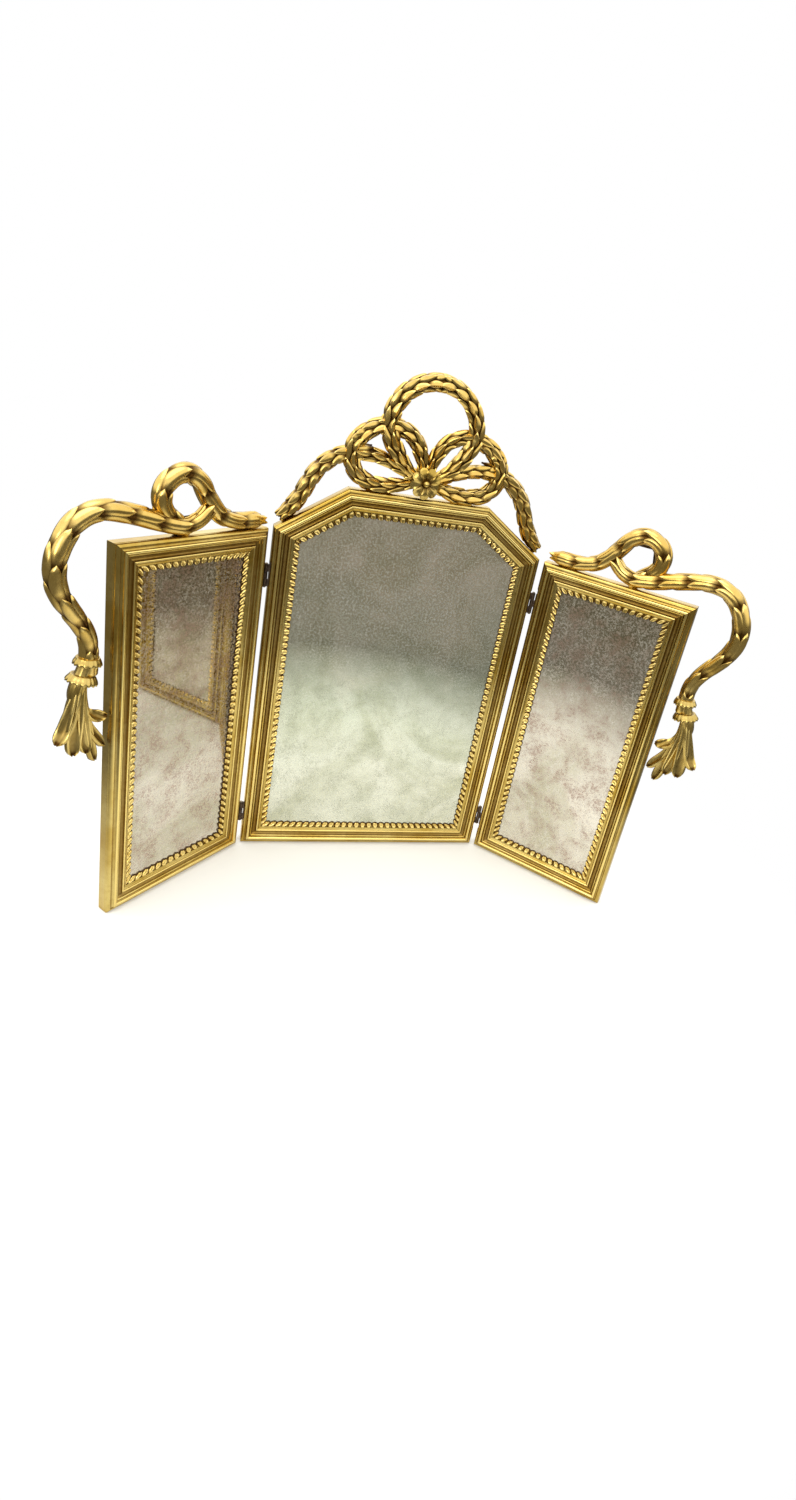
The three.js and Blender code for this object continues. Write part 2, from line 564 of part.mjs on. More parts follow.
for (const [sideName, side] of [['left', -1], ['right', 1]]) {
  mirror.add(named(`crest_${sideName}_swag`, swag(side), gilt()));

  const wing = new THREE.Group();
  wing.position.set(side * axisX, PIN_BACK, 0);
  wing.rotation.z = THREE.MathUtils.degToRad(-side * WING_REST_DEG);
  const near = side * PIN_OUT;
  const far = side * (PIN_OUT + WING_CREST_WIDTH);
  const outline = rectangle(Math.min(near, far), Math.max(near, far), EDGE, WING_CREST_HEIGHT + EDGE);
  const stiles = side > 0 ? ['outer_stile', 'inner_stile'] : ['inner_stile', 'outer_stile'];
  const wingPanel = panel(
    `${sideName}_wing`, outline,
    ['bottom_rail', stiles[0], 'top_rail', stiles[1]],
    { inner_stile: { out: -side, axis: { x: 0, y: PIN_BACK } } });
  wingPanel.position.y = -PIN_BACK;
  wing.add(wingPanel);
  wing.add(named(`${sideName}_wing_scroll`, scroll(side), gilt()));
  wing.add(named(`${sideName}_wing_tassel`, tassel(side), gilt()));

  const fixed = new THREE.Group();
  fixed.position.copy(wing.position);
  for (const [level, height] of Object.entries(HINGE_HEIGHTS)) {
    const hingeName = `${sideName}_${level}_hinge`;
    const centreLeaf = named(`${hingeName}_centre_leaf`, hingeLeaf(side, outerKnuckles), bronze());
    const wingLeaf = named(`${hingeName}_wing_leaf`, hingeLeaf(-side, middleKnuckle), bronze());
    const pin = named(`${hingeName}_pin`, hingePin(), steel());
    for (const mesh of [centreLeaf, wingLeaf, pin]) mesh.position.z = height;
    fixed.add(centreLeaf, pin);
    wing.add(wingLeaf);
    for (const [row, offset] of [['top', SCREW_SPREAD], ['bottom', -SCREW_SPREAD]]) {
      const centreScrew = named(`${hingeName}_centre_${row}_screw`, hingeScrew(side), steel());
      const wingScrew = named(`${hingeName}_wing_${row}_screw`, hingeScrew(-side), steel());
      for (const mesh of [centreScrew, wingScrew]) mesh.position.z = height + offset;
      fixed.add(centreScrew);
      wing.add(wingScrew);
    }
  }
  mirror.add(wing, fixed);
}

// The origin is the middle of the footprint, on the surface that the mirror stands on.
mirror.updateMatrixWorld(true);
const extent = new THREE.Box3().setFromObject(mirror, true);
mirror.position.y = -(extent.min.y + extent.max.y) / 2;
mirror.position.x = -(extent.min.x + extent.max.x) / 2;

export default mirror;
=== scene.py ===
"""Looks for the folding gilt table mirror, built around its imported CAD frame.

Every piece is laid out in its own panel: x across the panel, d back from the panel's crest plane and z up
from its underside, all in millimetres. Panel.place() turns that into the row frame, in metres.
"""

import json
import math
import random

import bpy
import numpy as np
from mathutils import Matrix, Vector, noise


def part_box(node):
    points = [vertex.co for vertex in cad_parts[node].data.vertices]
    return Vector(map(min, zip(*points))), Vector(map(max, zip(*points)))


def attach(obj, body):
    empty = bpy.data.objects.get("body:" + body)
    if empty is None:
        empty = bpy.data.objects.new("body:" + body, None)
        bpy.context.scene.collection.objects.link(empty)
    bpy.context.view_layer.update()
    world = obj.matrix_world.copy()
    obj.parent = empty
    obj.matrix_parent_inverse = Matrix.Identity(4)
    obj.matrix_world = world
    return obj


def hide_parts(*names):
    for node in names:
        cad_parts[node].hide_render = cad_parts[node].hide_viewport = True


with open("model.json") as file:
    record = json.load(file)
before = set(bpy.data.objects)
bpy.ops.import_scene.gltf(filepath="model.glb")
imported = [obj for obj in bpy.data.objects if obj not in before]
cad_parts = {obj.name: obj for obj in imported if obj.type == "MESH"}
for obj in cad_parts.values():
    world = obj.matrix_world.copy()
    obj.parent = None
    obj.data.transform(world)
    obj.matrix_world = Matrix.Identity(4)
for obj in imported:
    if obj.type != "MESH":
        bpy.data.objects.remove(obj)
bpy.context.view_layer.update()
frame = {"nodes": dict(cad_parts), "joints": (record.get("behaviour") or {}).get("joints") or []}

MM = 0.001
SIDES = {"left": -1, "right": 1}

# ------------------------------------------------------------------ dimensions shared with the CAD part, mm

CREST_WIDTH = 450
CREST_SIDE_HEIGHT = 610.6
CREST_TOP_HEIGHT = 683.7
CLIP_RUN = 105.8
WING_CREST_WIDTH = 253
WING_CREST_HEIGHT = 603
WING_REST_DEG = 42
EDGE = 12.5
FRAME_DEPTH = 28
MITRE_GAP = 0.2
GAP = 0.3
RABBET_EDGE = 14.5
RABBET_DEPTH = 9.3
LIP_END = 23.6
SIGHT_EDGE = 33.5
GLASS_FRONT = 12.3
BOARD_BACK = 20.6
PIN_OUT = 17.8
PIN_BACK = 10
HINGE_HEIGHTS = {"lower": 71, "upper": 545.5}
HINGE_HEIGHT = 39
MORTISE = 2.0
MORTISE_REACH = 26.3
BOW_LOOP_RADIUS = 73.5
BOW_LOOP_HEIGHT = 809.3
BOW_ROPE_RADIUS = 12.5
SIDE_LOOP_RADIUS = 11.7
ROPE_AT_ROSETTE = 9
ROSETTE_HEIGHT = 723
SCROLL_RADIUS = 13.6
SCROLL_END_RADIUS = 12


# ------------------------------------------------------------------ panels

class Panel:
    """One panel's body, its crest outline and the way from its own millimetres to the row frame."""

    def __init__(self, body, side, matrix, outline, names):
        self.body = body
        self.side = side
        self.matrix = matrix
        self.outline = [np.array(corner, float) for corner in outline]
        self.names = names

    def place(self, points):
        """Row-frame points, in metres, from an array of (x, d, z) in millimetres."""
        points = np.asarray(points, float).reshape(-1, 3) * MM
        turn = np.array(self.matrix.to_3x3())
        return points @ turn.T + np.array(self.matrix.translation)

    def edge(self, i):
        """Edge i's start, end, direction, inward normal and the mitre factors of its two ends."""
        count = len(self.outline)
        before, start, end, after = (self.outline[(i + k) % count] for k in (-1, 0, 1, 2))
        along = (end - start) / np.linalg.norm(end - start)
        inward = np.array((-along[1], along[0]))

        def mitre(a, b, c):
            u = (a - b) / np.linalg.norm(a - b)
            v = (c - b) / np.linalg.norm(c - b)
            return 1 / math.tan(math.acos(float(u @ v)) / 2)

        return start, end, along, inward, mitre(before, start, end), mitre(start, end, after)


def centre_panel():
    crest_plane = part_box("centre_top_rail")[1].y - FRAME_DEPTH * MM
    half = CREST_WIDTH / 2
    clip = half - CLIP_RUN
    shoulder, top = CREST_SIDE_HEIGHT + EDGE, CREST_TOP_HEIGHT + EDGE
    outline = [(-half, EDGE), (half, EDGE), (half, shoulder), (clip, top), (-clip, top), (-half, shoulder)]
    names = ["bottom_rail", "right_stile", "right_clip", "top_rail", "left_clip", "left_stile"]
    return Panel("centre", 0, Matrix.Translation((0, crest_plane, 0)), outline, names)


def wing_panel(name, side):
    joint = next(j for j in frame["joints"] if j["child"] == name + "_wing")
    hinge = Vector((joint["pos_m"][0], joint["pos_m"][1], 0))
    turn = Matrix.Rotation(math.radians(-side * WING_REST_DEG), 4, "Z")
    matrix = Matrix.Translation(hinge) @ turn @ Matrix.Translation((0, -PIN_BACK * MM, 0))
    near, far = sorted((side * PIN_OUT, side * (PIN_OUT + WING_CREST_WIDTH)))
    top = WING_CREST_HEIGHT + EDGE
    outline = [(near, EDGE), (far, EDGE), (far, top), (near, top)]
    stiles = ["outer_stile", "inner_stile"] if side > 0 else ["inner_stile", "outer_stile"]
    return Panel(name + "_wing", side, matrix, outline, ["bottom_rail", stiles[0], "top_rail", stiles[1]])


centre = centre_panel()
wings = {name: wing_panel(name, side) for name, side in SIDES.items()}


# ------------------------------------------------------------------ mesh helpers

def add_mesh(name, points, faces, panel, shade_tones=None, smooth_deg=40, material_of_face=None):
    """A mesh object in the row frame, with a per-point attribute of painted light: 0 is painted shade in a
    hollow, 1 a painted highlight on a crest.
    """
    mesh = bpy.data.meshes.new(name)
    mesh.from_pydata(panel.place(points).tolist(), [], faces)
    if shade_tones is not None:
        attribute = mesh.attributes.new("shade_tone", "FLOAT", "POINT")
        attribute.data.foreach_set("value", np.asarray(shade_tones, np.float32))
    mesh.shade_smooth()
    mesh.set_sharp_from_angle(angle=math.radians(smooth_deg))
    if material_of_face is not None:
        mesh.polygons.foreach_set("material_index", material_of_face)
    mesh.validate()
    mesh.update()
    obj = bpy.data.objects.new(name, mesh)
    bpy.context.scene.collection.objects.link(obj)
    return obj


def outward(points, faces):
    """The faces of one closed part among all points, turned to face out."""
    used = sorted({k for face in faces for k in face})
    origin = np.mean([points[k] for k in used], axis=0)
    shifted = {k: np.array(points[k]) - origin for k in used}
    volume = 0.0
    for face in faces:
        a = shifted[face[0]]
        for k in range(1, len(face) - 1):
            volume += float(np.dot(a, np.cross(shifted[face[k]], shifted[face[k + 1]])))
    return faces if volume > 0 else [tuple(reversed(face)) for face in faces]


def strip_faces(rows, columns, close_rows=False, close_columns=False, start=0):
    """Quads over a grid of rows x columns points, stored row by row."""
    faces = []
    for i in range(rows if close_rows else rows - 1):
        for j in range(columns if close_columns else columns - 1):
            a, b = i * columns, ((i + 1) % rows) * columns
            k = (j + 1) % columns
            faces.append((start + a + j, start + a + k, start + b + k, start + b + j))
    return faces


def tube_faces(rows, sides, start=0):
    """A tube of rows rings with sides points each, with a flat cap on either end."""
    faces = strip_faces(rows, sides, close_columns=True, start=start)
    faces.append(tuple(start + k for k in reversed(range(sides))))
    faces.append(tuple(start + (rows - 1) * sides + k for k in range(sides)))
    return faces


def grid_rim(rows, columns):
    """The (row, column) places round the edge of a grid, in order."""
    down = [(i, 0) for i in range(rows)]
    across = [(rows - 1, j) for j in range(1, columns)]
    up = [(i, columns - 1) for i in range(rows - 2, -1, -1)]
    return down + across + up + [(0, j) for j in range(columns - 2, 0, -1)]


def add_slab(top, low, rows, columns, low_shade_tone, points, faces, shade_tones):
    """Closes a grid of top points over a grid of low points; the top's painted light is already in, and the
    low points get one darker value as painted shade.
    """
    start, size = len(points), rows * columns
    points.extend(top)
    points.extend(low)
    shade_tones.extend([low_shade_tone] * size)
    grid = strip_faces(rows, columns, start=start)
    own = grid + [tuple(k + size for k in reversed(face)) for face in grid]
    rim = [start + i * columns + j for i, j in grid_rim(rows, columns)]
    for u, v in zip(rim, rim[1:] + rim[:1]):
        own.append((u, u + size, v + size, v))
    faces.extend(outward(points, own))


def finish_piece(obj, panel_or_body, materials, replaced=()):
    """Gives a piece its materials and its body, and hides the CAD nodes that it stands for."""
    for material in materials:
        obj.data.materials.append(material)
    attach(obj, getattr(panel_or_body, "body", panel_or_body))
    if replaced:
        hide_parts(*replaced)
    return obj


def bezier(p0, p1, p2, p3, steps):
    """Points of a cubic after its first point."""
    out = []
    for k in range(1, steps + 1):
        t = k / steps
        weights = ((1 - t) ** 3, 3 * t * (1 - t) ** 2, 3 * t * t * (1 - t), t ** 3)
        out.append(tuple(sum(w * p[axis] for w, p in zip(weights, (p0, p1, p2, p3))) for axis in (0, 1)))
    return out


def smoothstep(edge0, edge1, value):
    t = np.clip((np.asarray(value, float) - edge0) / (edge1 - edge0), 0, 1)
    return t * t * (3 - 2 * t)


# ------------------------------------------------------------------ materials

def new_material(name):
    material = bpy.data.materials.new(name)
    material.use_nodes = True
    nodes = material.node_tree.nodes
    nodes.clear()
    output = nodes.new("ShaderNodeOutputMaterial")
    shader = nodes.new("ShaderNodeBsdfPrincipled")
    material.node_tree.links.new(shader.outputs["BSDF"], output.inputs["Surface"])
    return material, shader


class Graph:
    """Short ways to add the few kinds of node that the materials use."""

    def __init__(self, material):
        self.nodes = material.node_tree.nodes
        self.links = material.node_tree.links
        self.coordinates = self.nodes.new("ShaderNodeTexCoord").outputs["Object"]

    def link(self, value, socket):
        if isinstance(value, bpy.types.NodeSocket):
            self.links.new(value, socket)
        else:
            socket.default_value = value

    def noise(self, scale, detail=3.0, roughness=0.55, distortion=0.0, vector=None):
        node = self.nodes.new("ShaderNodeTexNoise")
        self.link(vector or self.coordinates, node.inputs["Vector"])
        for key, value in (("Scale", scale), ("Detail", detail), ("Roughness", roughness)):
            node.inputs[key].default_value = value
        node.inputs["Distortion"].default_value = distortion
        return node.outputs["Fac"]

    def stretched(self, scale):
        node = self.nodes.new("ShaderNodeMapping")
        self.link(self.coordinates, node.inputs["Vector"])
        node.inputs["Scale"].default_value = scale
        return node.outputs["Vector"]

    def ramp(self, value, *stops):
        """A colour ramp; each stop is (place, colour or grey)."""
        node = self.nodes.new("ShaderNodeValToRGB")
        self.link(value, node.inputs["Fac"])
        elements = node.color_ramp.elements
        while len(elements) < len(stops):
            elements.new(0.5)
        for element, (place, colour) in zip(elements, stops):
            element.position = place
            colour = (colour,) * 3 if isinstance(colour, (int, float)) else colour
            element.color = (*colour, 1)
        return node.outputs["Color"]

    def mix(self, factor, a, b, blend="MIX"):
        node = self.nodes.new("ShaderNodeMix")
        node.data_type = "RGBA"
        node.blend_type = blend
        self.link(factor, node.inputs["Factor"])
        for value, socket in ((a, node.inputs[6]), (b, node.inputs[7])):
            if isinstance(value, tuple):
                value = (*value, 1)
            self.link(value, socket)
        return node.outputs[2]

    def math(self, operation, a, b=0.0, clamp=False):
        node = self.nodes.new("ShaderNodeMath")
        node.operation = operation
        node.use_clamp = clamp
        self.link(a, node.inputs[0])
        self.link(b, node.inputs[1])
        return node.outputs[0]

    def attribute(self, name):
        node = self.nodes.new("ShaderNodeAttribute")
        node.attribute_name = name
        return node.outputs["Fac"]

    def bump(self, height, strength, distance, normal=None):
        node = self.nodes.new("ShaderNodeBump")
        self.link(height, node.inputs["Height"])
        node.inputs["Strength"].default_value = strength
        node.inputs["Distance"].default_value = distance
        if normal is not None:
            self.link(normal, node.inputs["Normal"])
        return node.outputs["Normal"]


BOLE = (0.085, 0.022, 0.006)
# Dark browns for the hollows: mostly painted shade, partly a gilder's wash.
SHADE_TONING = (0.15, 0.072, 0.012)
DEEP_SHADE_TONING = (0.075, 0.034, 0.006)
DULLED_SHARE = (0.66, 0.60, 0.50)
# The crests' painted highlight: the pale gold made brighter, over the real burnish.
BURNISH_HIGHLIGHT_GAIN = 1.3


def gilt_material(name, gold, pale, roughness, wear, shade_toning):
    """Gold leaf over red-brown bole, worn through in random spots: the hollows painted dark brown as shade,
    partly a gilder's wash, and the crests painted pale as a highlight over the real burnish.
    """
    material, shader = new_material(name)
    graph = Graph(material)
    shade_tone = graph.attribute("shade_tone")
    patches = graph.noise(11, 4, 0.6)
    mottle = graph.noise(150, 3, 0.6)
    fine = graph.noise(800, 2, 0.6)
    dulled = tuple(share * c for share, c in zip(DULLED_SHARE, gold))
    leaf = graph.mix(graph.ramp(patches, (0.36, 0.0), (0.66, 1.0)), gold, pale)
    leaf = graph.mix(graph.ramp(mottle, (0.30, 0.22), (0.50, 0.0)), leaf, dulled)
    burnish_highlight = tuple(BURNISH_HIGHLIGHT_GAIN * c for c in pale)
    # Painted highlight: the crests are painted paler and brighter, on top of the real burnish.
    leaf = graph.mix(graph.ramp(shade_tone, (0.84, 0.0), (0.96, 1.0)), leaf, burnish_highlight)
    edge = graph.math("ADD", shade_tone, graph.math("MULTIPLY", graph.math("SUBTRACT", mottle, 0.5), 0.12))
    # Painted shade: the hollows are darkened towards a deep brown, partly a gilder's wash.
    toned_and_shaded = graph.mix(graph.ramp(edge, (0.06, 0.0), (0.30, 0.62), (0.52, 1.0)), shade_toning, leaf)
    worn = graph.math("MULTIPLY", graph.ramp(graph.noise(55, 5, 0.7), (0.62, 0.0), (0.72, 1.0)), wear)
    graph.link(graph.mix(worn, toned_and_shaded, BOLE), shader.inputs["Base Color"])
    shader.inputs["Metallic"].default_value = 1.0
    rough = graph.math("ADD", graph.math("MULTIPLY", mottle, 0.10), roughness - 0.05)
    dull = graph.math("MULTIPLY", graph.math("SUBTRACT", 0.55, edge, True), 0.45)
    graph.link(graph.math("ADD", rough, dull, True), shader.inputs["Roughness"])
    soft = graph.bump(graph.noise(45, 2, 0.5), 0.06, 0.0012)
    graph.link(graph.bump(fine, 0.05, 0.0002, soft), shader.inputs["Normal"])
    return material


DRIFT_TINT = (0.62, 0.63, 0.50)


def lean_normal(graph, askew):
    """The surface normal, leant by a constant amount in the object's own directions."""
    lean = graph.nodes.new("ShaderNodeVectorTransform")
    lean.vector_type = "VECTOR"
    lean.convert_from, lean.convert_to = "OBJECT", "WORLD"
    lean.inputs[0].default_value = askew
    add = graph.nodes.new("ShaderNodeVectorMath")
    add.operation = "ADD"
    graph.link(graph.nodes.new("ShaderNodeNewGeometry").outputs["Normal"], add.inputs[0])
    graph.link(lean.outputs[0], add.inputs[1])
    level = graph.nodes.new("ShaderNodeVectorMath")
    level.operation = "NORMALIZE"
    graph.link(add.outputs[0], level.inputs[0])
    return level.outputs[0]


def mirror_material(name, clear, cloud, fox, haze, askew=None):
    """Antiqued silvering, dark above and paler below, with grainy tarnish and pinkish foxing.

    The change with height stands in for the ground that the glass reflects. askew leans the shading
    normal, which moves the reflection to its place; the plate itself isn't turned."""
    material, shader = new_material(name)
    graph = Graph(material)
    height = graph.nodes.new("ShaderNodeSeparateXYZ")
    graph.link(graph.coordinates, height.inputs[0])
    clouds = graph.noise(7, 6, 0.62, 0.3)
    grain = graph.noise(240, 5, 0.9)
    blotches = graph.noise(26, 5, 0.7, 0.4)
    cloudy = graph.math("MULTIPLY", graph.math("SUBTRACT", clouds, 0.5), 0.35)
    rise = graph.math("ADD", height.outputs["Z"], cloudy)
    low, middle, top = clear
    # Painted reflection: the plate's colour changes with height as the reflected ground and sky would.
    silvering_and_ground = graph.ramp(rise, (0.14, low), (0.34, middle), (0.60, top))
    drift = graph.ramp(graph.noise(5, 4, 0.55, 1.2), (0.42, 0.0), (0.62, 0.75))
    silvering_and_ground = graph.mix(drift, silvering_and_ground, DRIFT_TINT, "MULTIPLY")
    mask = graph.math("ADD", graph.math("MULTIPLY", blotches, 0.16), graph.math("MULTIPLY", grain, 0.84))
    mask = graph.ramp(mask, (0.46, 0.0), (0.54, 1.0))
    foxed = graph.mix(graph.ramp(blotches, (0.40, 0.0), (0.60, 1.0)), cloud, fox)
    speck = graph.math("MULTIPLY", mask, haze)
    graph.link(graph.mix(speck, silvering_and_ground, foxed), shader.inputs["Base Color"])
    graph.link(graph.math("SUBTRACT", 1.0, graph.math("MULTIPLY", speck, 0.55)), shader.inputs["Metallic"])
    graph.link(graph.math("ADD", graph.math("MULTIPLY", speck, 0.08), 0.015), shader.inputs["Roughness"])
    if askew:
        graph.link(lean_normal(graph, askew), shader.inputs["Normal"])
    return material


def wood_material(name, light, dark, stretch, roughness=0.72):
    material, shader = new_material(name)
    graph = Graph(material)
    grain = graph.noise(1.0, 6, 0.65, 0.6, graph.stretched(stretch))
    pores = graph.noise(1.0, 2, 0.7, 0.0, graph.stretched(tuple(7 * s for s in stretch)))
    stain = graph.noise(7, 4, 0.6)
    colour = graph.mix(graph.ramp(grain, (0.36, 0.0), (0.64, 1.0)), light, dark)
    colour = graph.mix(graph.ramp(pores, (0.55, 0.0), (0.75, 0.5)), colour, tuple(0.45 * c for c in dark))
    colour = graph.mix(graph.ramp(stain, (0.45, 0.0), (0.75, 0.55)), colour, tuple(0.6 * c for c in dark))
    graph.link(colour, shader.inputs["Base Color"])
    shader.inputs["Roughness"].default_value = roughness
    graph.link(graph.bump(grain, 0.25, 0.0004), shader.inputs["Normal"])
    return material


def metal_material(name, colour, dark, roughness):
    material, shader = new_material(name)
    graph = Graph(material)
    patches = graph.noise(220, 4, 0.7)
    tint = graph.mix(graph.ramp(patches, (0.38, 0.0), (0.64, 1.0)), dark, colour)
    graph.link(tint, shader.inputs["Base Color"])
    shader.inputs["Metallic"].default_value = 1.0
    rough = graph.math("ADD", graph.math("MULTIPLY", patches, 0.3), roughness - 0.15)
    graph.link(rough, shader.inputs["Roughness"])
    graph.link(graph.bump(patches, 0.15, 0.0003), shader.inputs["Normal"])
    return material


def gilding(name, gold, pale, roughness, wear, shade_toning=DEEP_SHADE_TONING):
    return gilt_material("gilt_" + name, gold, pale, roughness, wear, shade_toning)


gilt_moulding = gilding("moulding", (0.43, 0.275, 0.045), (0.62, 0.48, 0.165), 0.19, 0.12, SHADE_TONING)
gilt_rope = gilding("rope", (0.56, 0.36, 0.078), (0.70, 0.51, 0.165), 0.20, 0.06)
gilt_slip = gilding("slip", (0.60, 0.42, 0.105), (0.74, 0.56, 0.20), 0.21, 0.08)
gilt_ornament = gilding("ornament", (0.38, 0.255, 0.052), (0.60, 0.45, 0.155), 0.24, 0.05)

# Colours from low on the plate to high: the silvering with a painted reflection of the ground on it.
SILVER_AND_GROUND = ((0.75, 0.76, 0.64), (0.56, 0.60, 0.47), (0.95, 0.84, 0.68))
WING_SILVER_AND_GROUND = ((0.75, 0.70, 0.60), (0.56, 0.52, 0.43), (0.50, 0.43, 0.30))
LEFT_ASKEW = (0.065, 0.058, 0.026)
centre_glass = mirror_material("centre_glass", SILVER_AND_GROUND, (0.62, 0.63, 0.54), (0.32, 0.33, 0.25), 0.55)
right_glass = mirror_material("right_glass", WING_SILVER_AND_GROUND, (0.62, 0.59, 0.52), (0.28, 0.175, 0.135), 0.72)
left_glass = mirror_material(
    "left_glass", WING_SILVER_AND_GROUND, (0.62, 0.58, 0.51), (0.30, 0.17, 0.135), 0.62, LEFT_ASKEW)

PALE_WOOD, DARK_WOOD = (0.42, 0.27, 0.13), (0.24, 0.13, 0.055)
bare_wood = wood_material("bare_wood", PALE_WOOD, DARK_WOOD, (60, 60, 6))
bare_wood_rail = wood_material("bare_wood_rail", PALE_WOOD, DARK_WOOD, (6, 6, 60))
board_wood = wood_material("board_wood", (0.36, 0.24, 0.13), (0.20, 0.115, 0.055), (55, 55, 5))
dark_bronze = metal_material("dark_bronze", (0.14, 0.10, 0.07), (0.05, 0.035, 0.03), 0.42)
dull_steel = metal_material("dull_steel", (0.34, 0.31, 0.27), (0.16, 0.13, 0.10), 0.38)


# ------------------------------------------------------------------ mouldings

def moulding_profile():
    """The moulding's section as (inside the crest line, depth, painted light), from the rabbet's back to its
    front. Painted light runs from 0, painted shade in a groove or hollow, to 1, a painted highlight on the
    crest.
    """
    out = [(RABBET_EDGE, FRAME_DEPTH, 0.5)]

    def add(points, shade_tone0, shade_tone1=None):
        shade_tone1 = shade_tone0 if shade_tone1 is None else shade_tone1
        count = len(points)
        for k, (s, d) in enumerate(points):
            out.append((s, d, shade_tone0 + (shade_tone1 - shade_tone0) * (k + 1) / count))

    face = -EDGE
    add([(face + 0.7, FRAME_DEPTH)], 0.6)
    add([(face + 0.2, FRAME_DEPTH - 0.2), (face, FRAME_DEPTH - 0.7)], 0.7)
    add([(face, MORTISE_REACH + 0.02), (face, MORTISE_REACH)], 0.7)
    add([(face, d) for d in (22, 18, 14.5)], 0.7)
    add([(face, 12.1), (face + 0.12, 11.8)], 0.72, 0.8)
    add([(face + 0.85, 11.2), (face + 0.7, 10.9)], 0.05)
    add([(face + 0.05, 10.6)], 0.5)
    add(bezier((face + 0.05, 10.6), (face, 7.2), (-9.8, 4.7), (-6.7, 4.7), 12), 0.7, 0.78)
    add([(-6.35, 4.85), (-6.2, 5.25)], 0.4, 0.05)
    add(bezier((-6.2, 5.25), (-4, 5.1), (-2.5, 3.6), (-2.3, 1.2), 8), 0.12, 0.8)
    add(bezier((-2.3, 1.2), (-1.6, -0.4), (1.6, -0.4), (2.3, 1.2), 10), 1.0)
    add([(2.9, 2.9), (3.45, 4.35), (3.7, 4.65)], 0.5, 0.02)
    add(bezier((3.7, 4.65), (4.2, 3.2), (6.5, 3.2), (7, 5.4), 8), 0.75, 0.85)
    add(bezier((7, 5.4), (8, 10), (13.6, 10), (15, 5.4), 14), 0.20, 0.16)
    add(bezier((15, 5.4), (15.4, 3.9), (17.6, 3.9), (18.1, 5), 8), 0.95)
    add([(18.25, 5.75)], 0.1)
    add(bezier((18.25, 5.75), (20, 7.4), (21.6, 8), (LIP_END, 8.2), 7), 0.30, 0.7)
    add([(LIP_END, RABBET_DEPTH), (RABBET_EDGE, RABBET_DEPTH)], 0.1)
    return out


PROFILE = moulding_profile()
WAVE = 0.09             # how far a hand-finished moulding wanders from straight
STATION_STEP = 9.0


def stations_along(length, cuts):
    """Ways along a member, from 0 to 1, with a doubled station at each end of each cut."""
    ways = list(np.linspace(0, 1, max(2, round(length / STATION_STEP)) + 1))
    for low, high in cuts:
        for place in (low - 0.01, low, high, high + 0.01):
            ways.append(place / length)
    return sorted(ways)


def member(panel, i, name, node):
    """One mitred length of moulding, with hinge mortises where its node has them."""
    start, end, along, inward, mitre0, mitre1 = panel.edge(i)
    length = float(np.linalg.norm(end - start))
    hinged = name in ("right_stile", "left_stile", "inner_stile")
    cuts = []
    if hinged:
        half = HINGE_HEIGHT / 2 + GAP
        for height in HINGE_HEIGHTS.values():
            cuts.append(tuple(sorted(abs(height + way * half - start[1]) for way in (-1, 1))))
    ways = stations_along(length, cuts)
    seed = sum(map(ord, node)) * 0.37
    points, shade_tones = [], []
    for way in ways:
        place = way * length
        cut = any(low - 0.001 <= place <= high + 0.001 for low, high in cuts)
        calm = min(1.0, 12 * way, 12 * (1 - way))
        for s, d, shade_tone in PROFILE:
            # In a hinge mortise the moulding is cut back, and the notch is painted darker as shade.
            if cut and d <= MORTISE_REACH and s < MORTISE - EDGE:
                s = MORTISE - EDGE
                shade_tone = 0.2
            first = s * mitre0 + MITRE_GAP
            last = length - s * mitre1 - MITRE_GAP
            at = first + (last - first) * way
            wobble = WAVE * calm * noise.noise(Vector((place * 0.02, seed, s * 0.1)))
            front = d < MORTISE_REACH
            x, z = start + along * at + inward * (s + wobble * front)
            points.append((x, d + wobble * front, z))
            shade_tones.append(shade_tone)
    rows, columns = len(ways), len(PROFILE)
    faces = strip_faces(rows, columns, close_columns=True)
    materials = [1 if k % columns in (0, columns - 1) else 0 for k in range(len(faces))]
    faces += [tuple(range(columns)), tuple((rows - 1) * columns + k for k in reversed(range(columns)))]
    materials += [1, 1]
    faces = outward(points, faces)
    obj = add_mesh(node + "_gilt", points, faces, panel, shade_tones, 38, materials)
    wood = bare_wood if name.endswith("stile") else bare_wood_rail
    return finish_piece(obj, panel, [gilt_moulding, wood], [node])


# ------------------------------------------------------------------ carved slips

BEAD_PITCH = 12.8
BEAD_STEP = 0.8
TONGUE_HALF = 4.7       # half the width of a carved tongue
TONGUE_HEIGHT = 1.9
HOLLOW_DEPTH = 1.15
RIB_HEIGHT, RIB_WIDTH = 0.45, 0.8
DART_HEIGHT = 0.9
BAND_START = LIP_END + GAP
BAND_ROWS = 13
BAND_LINE = 29          # how far inside the crest line the carved units are spaced out


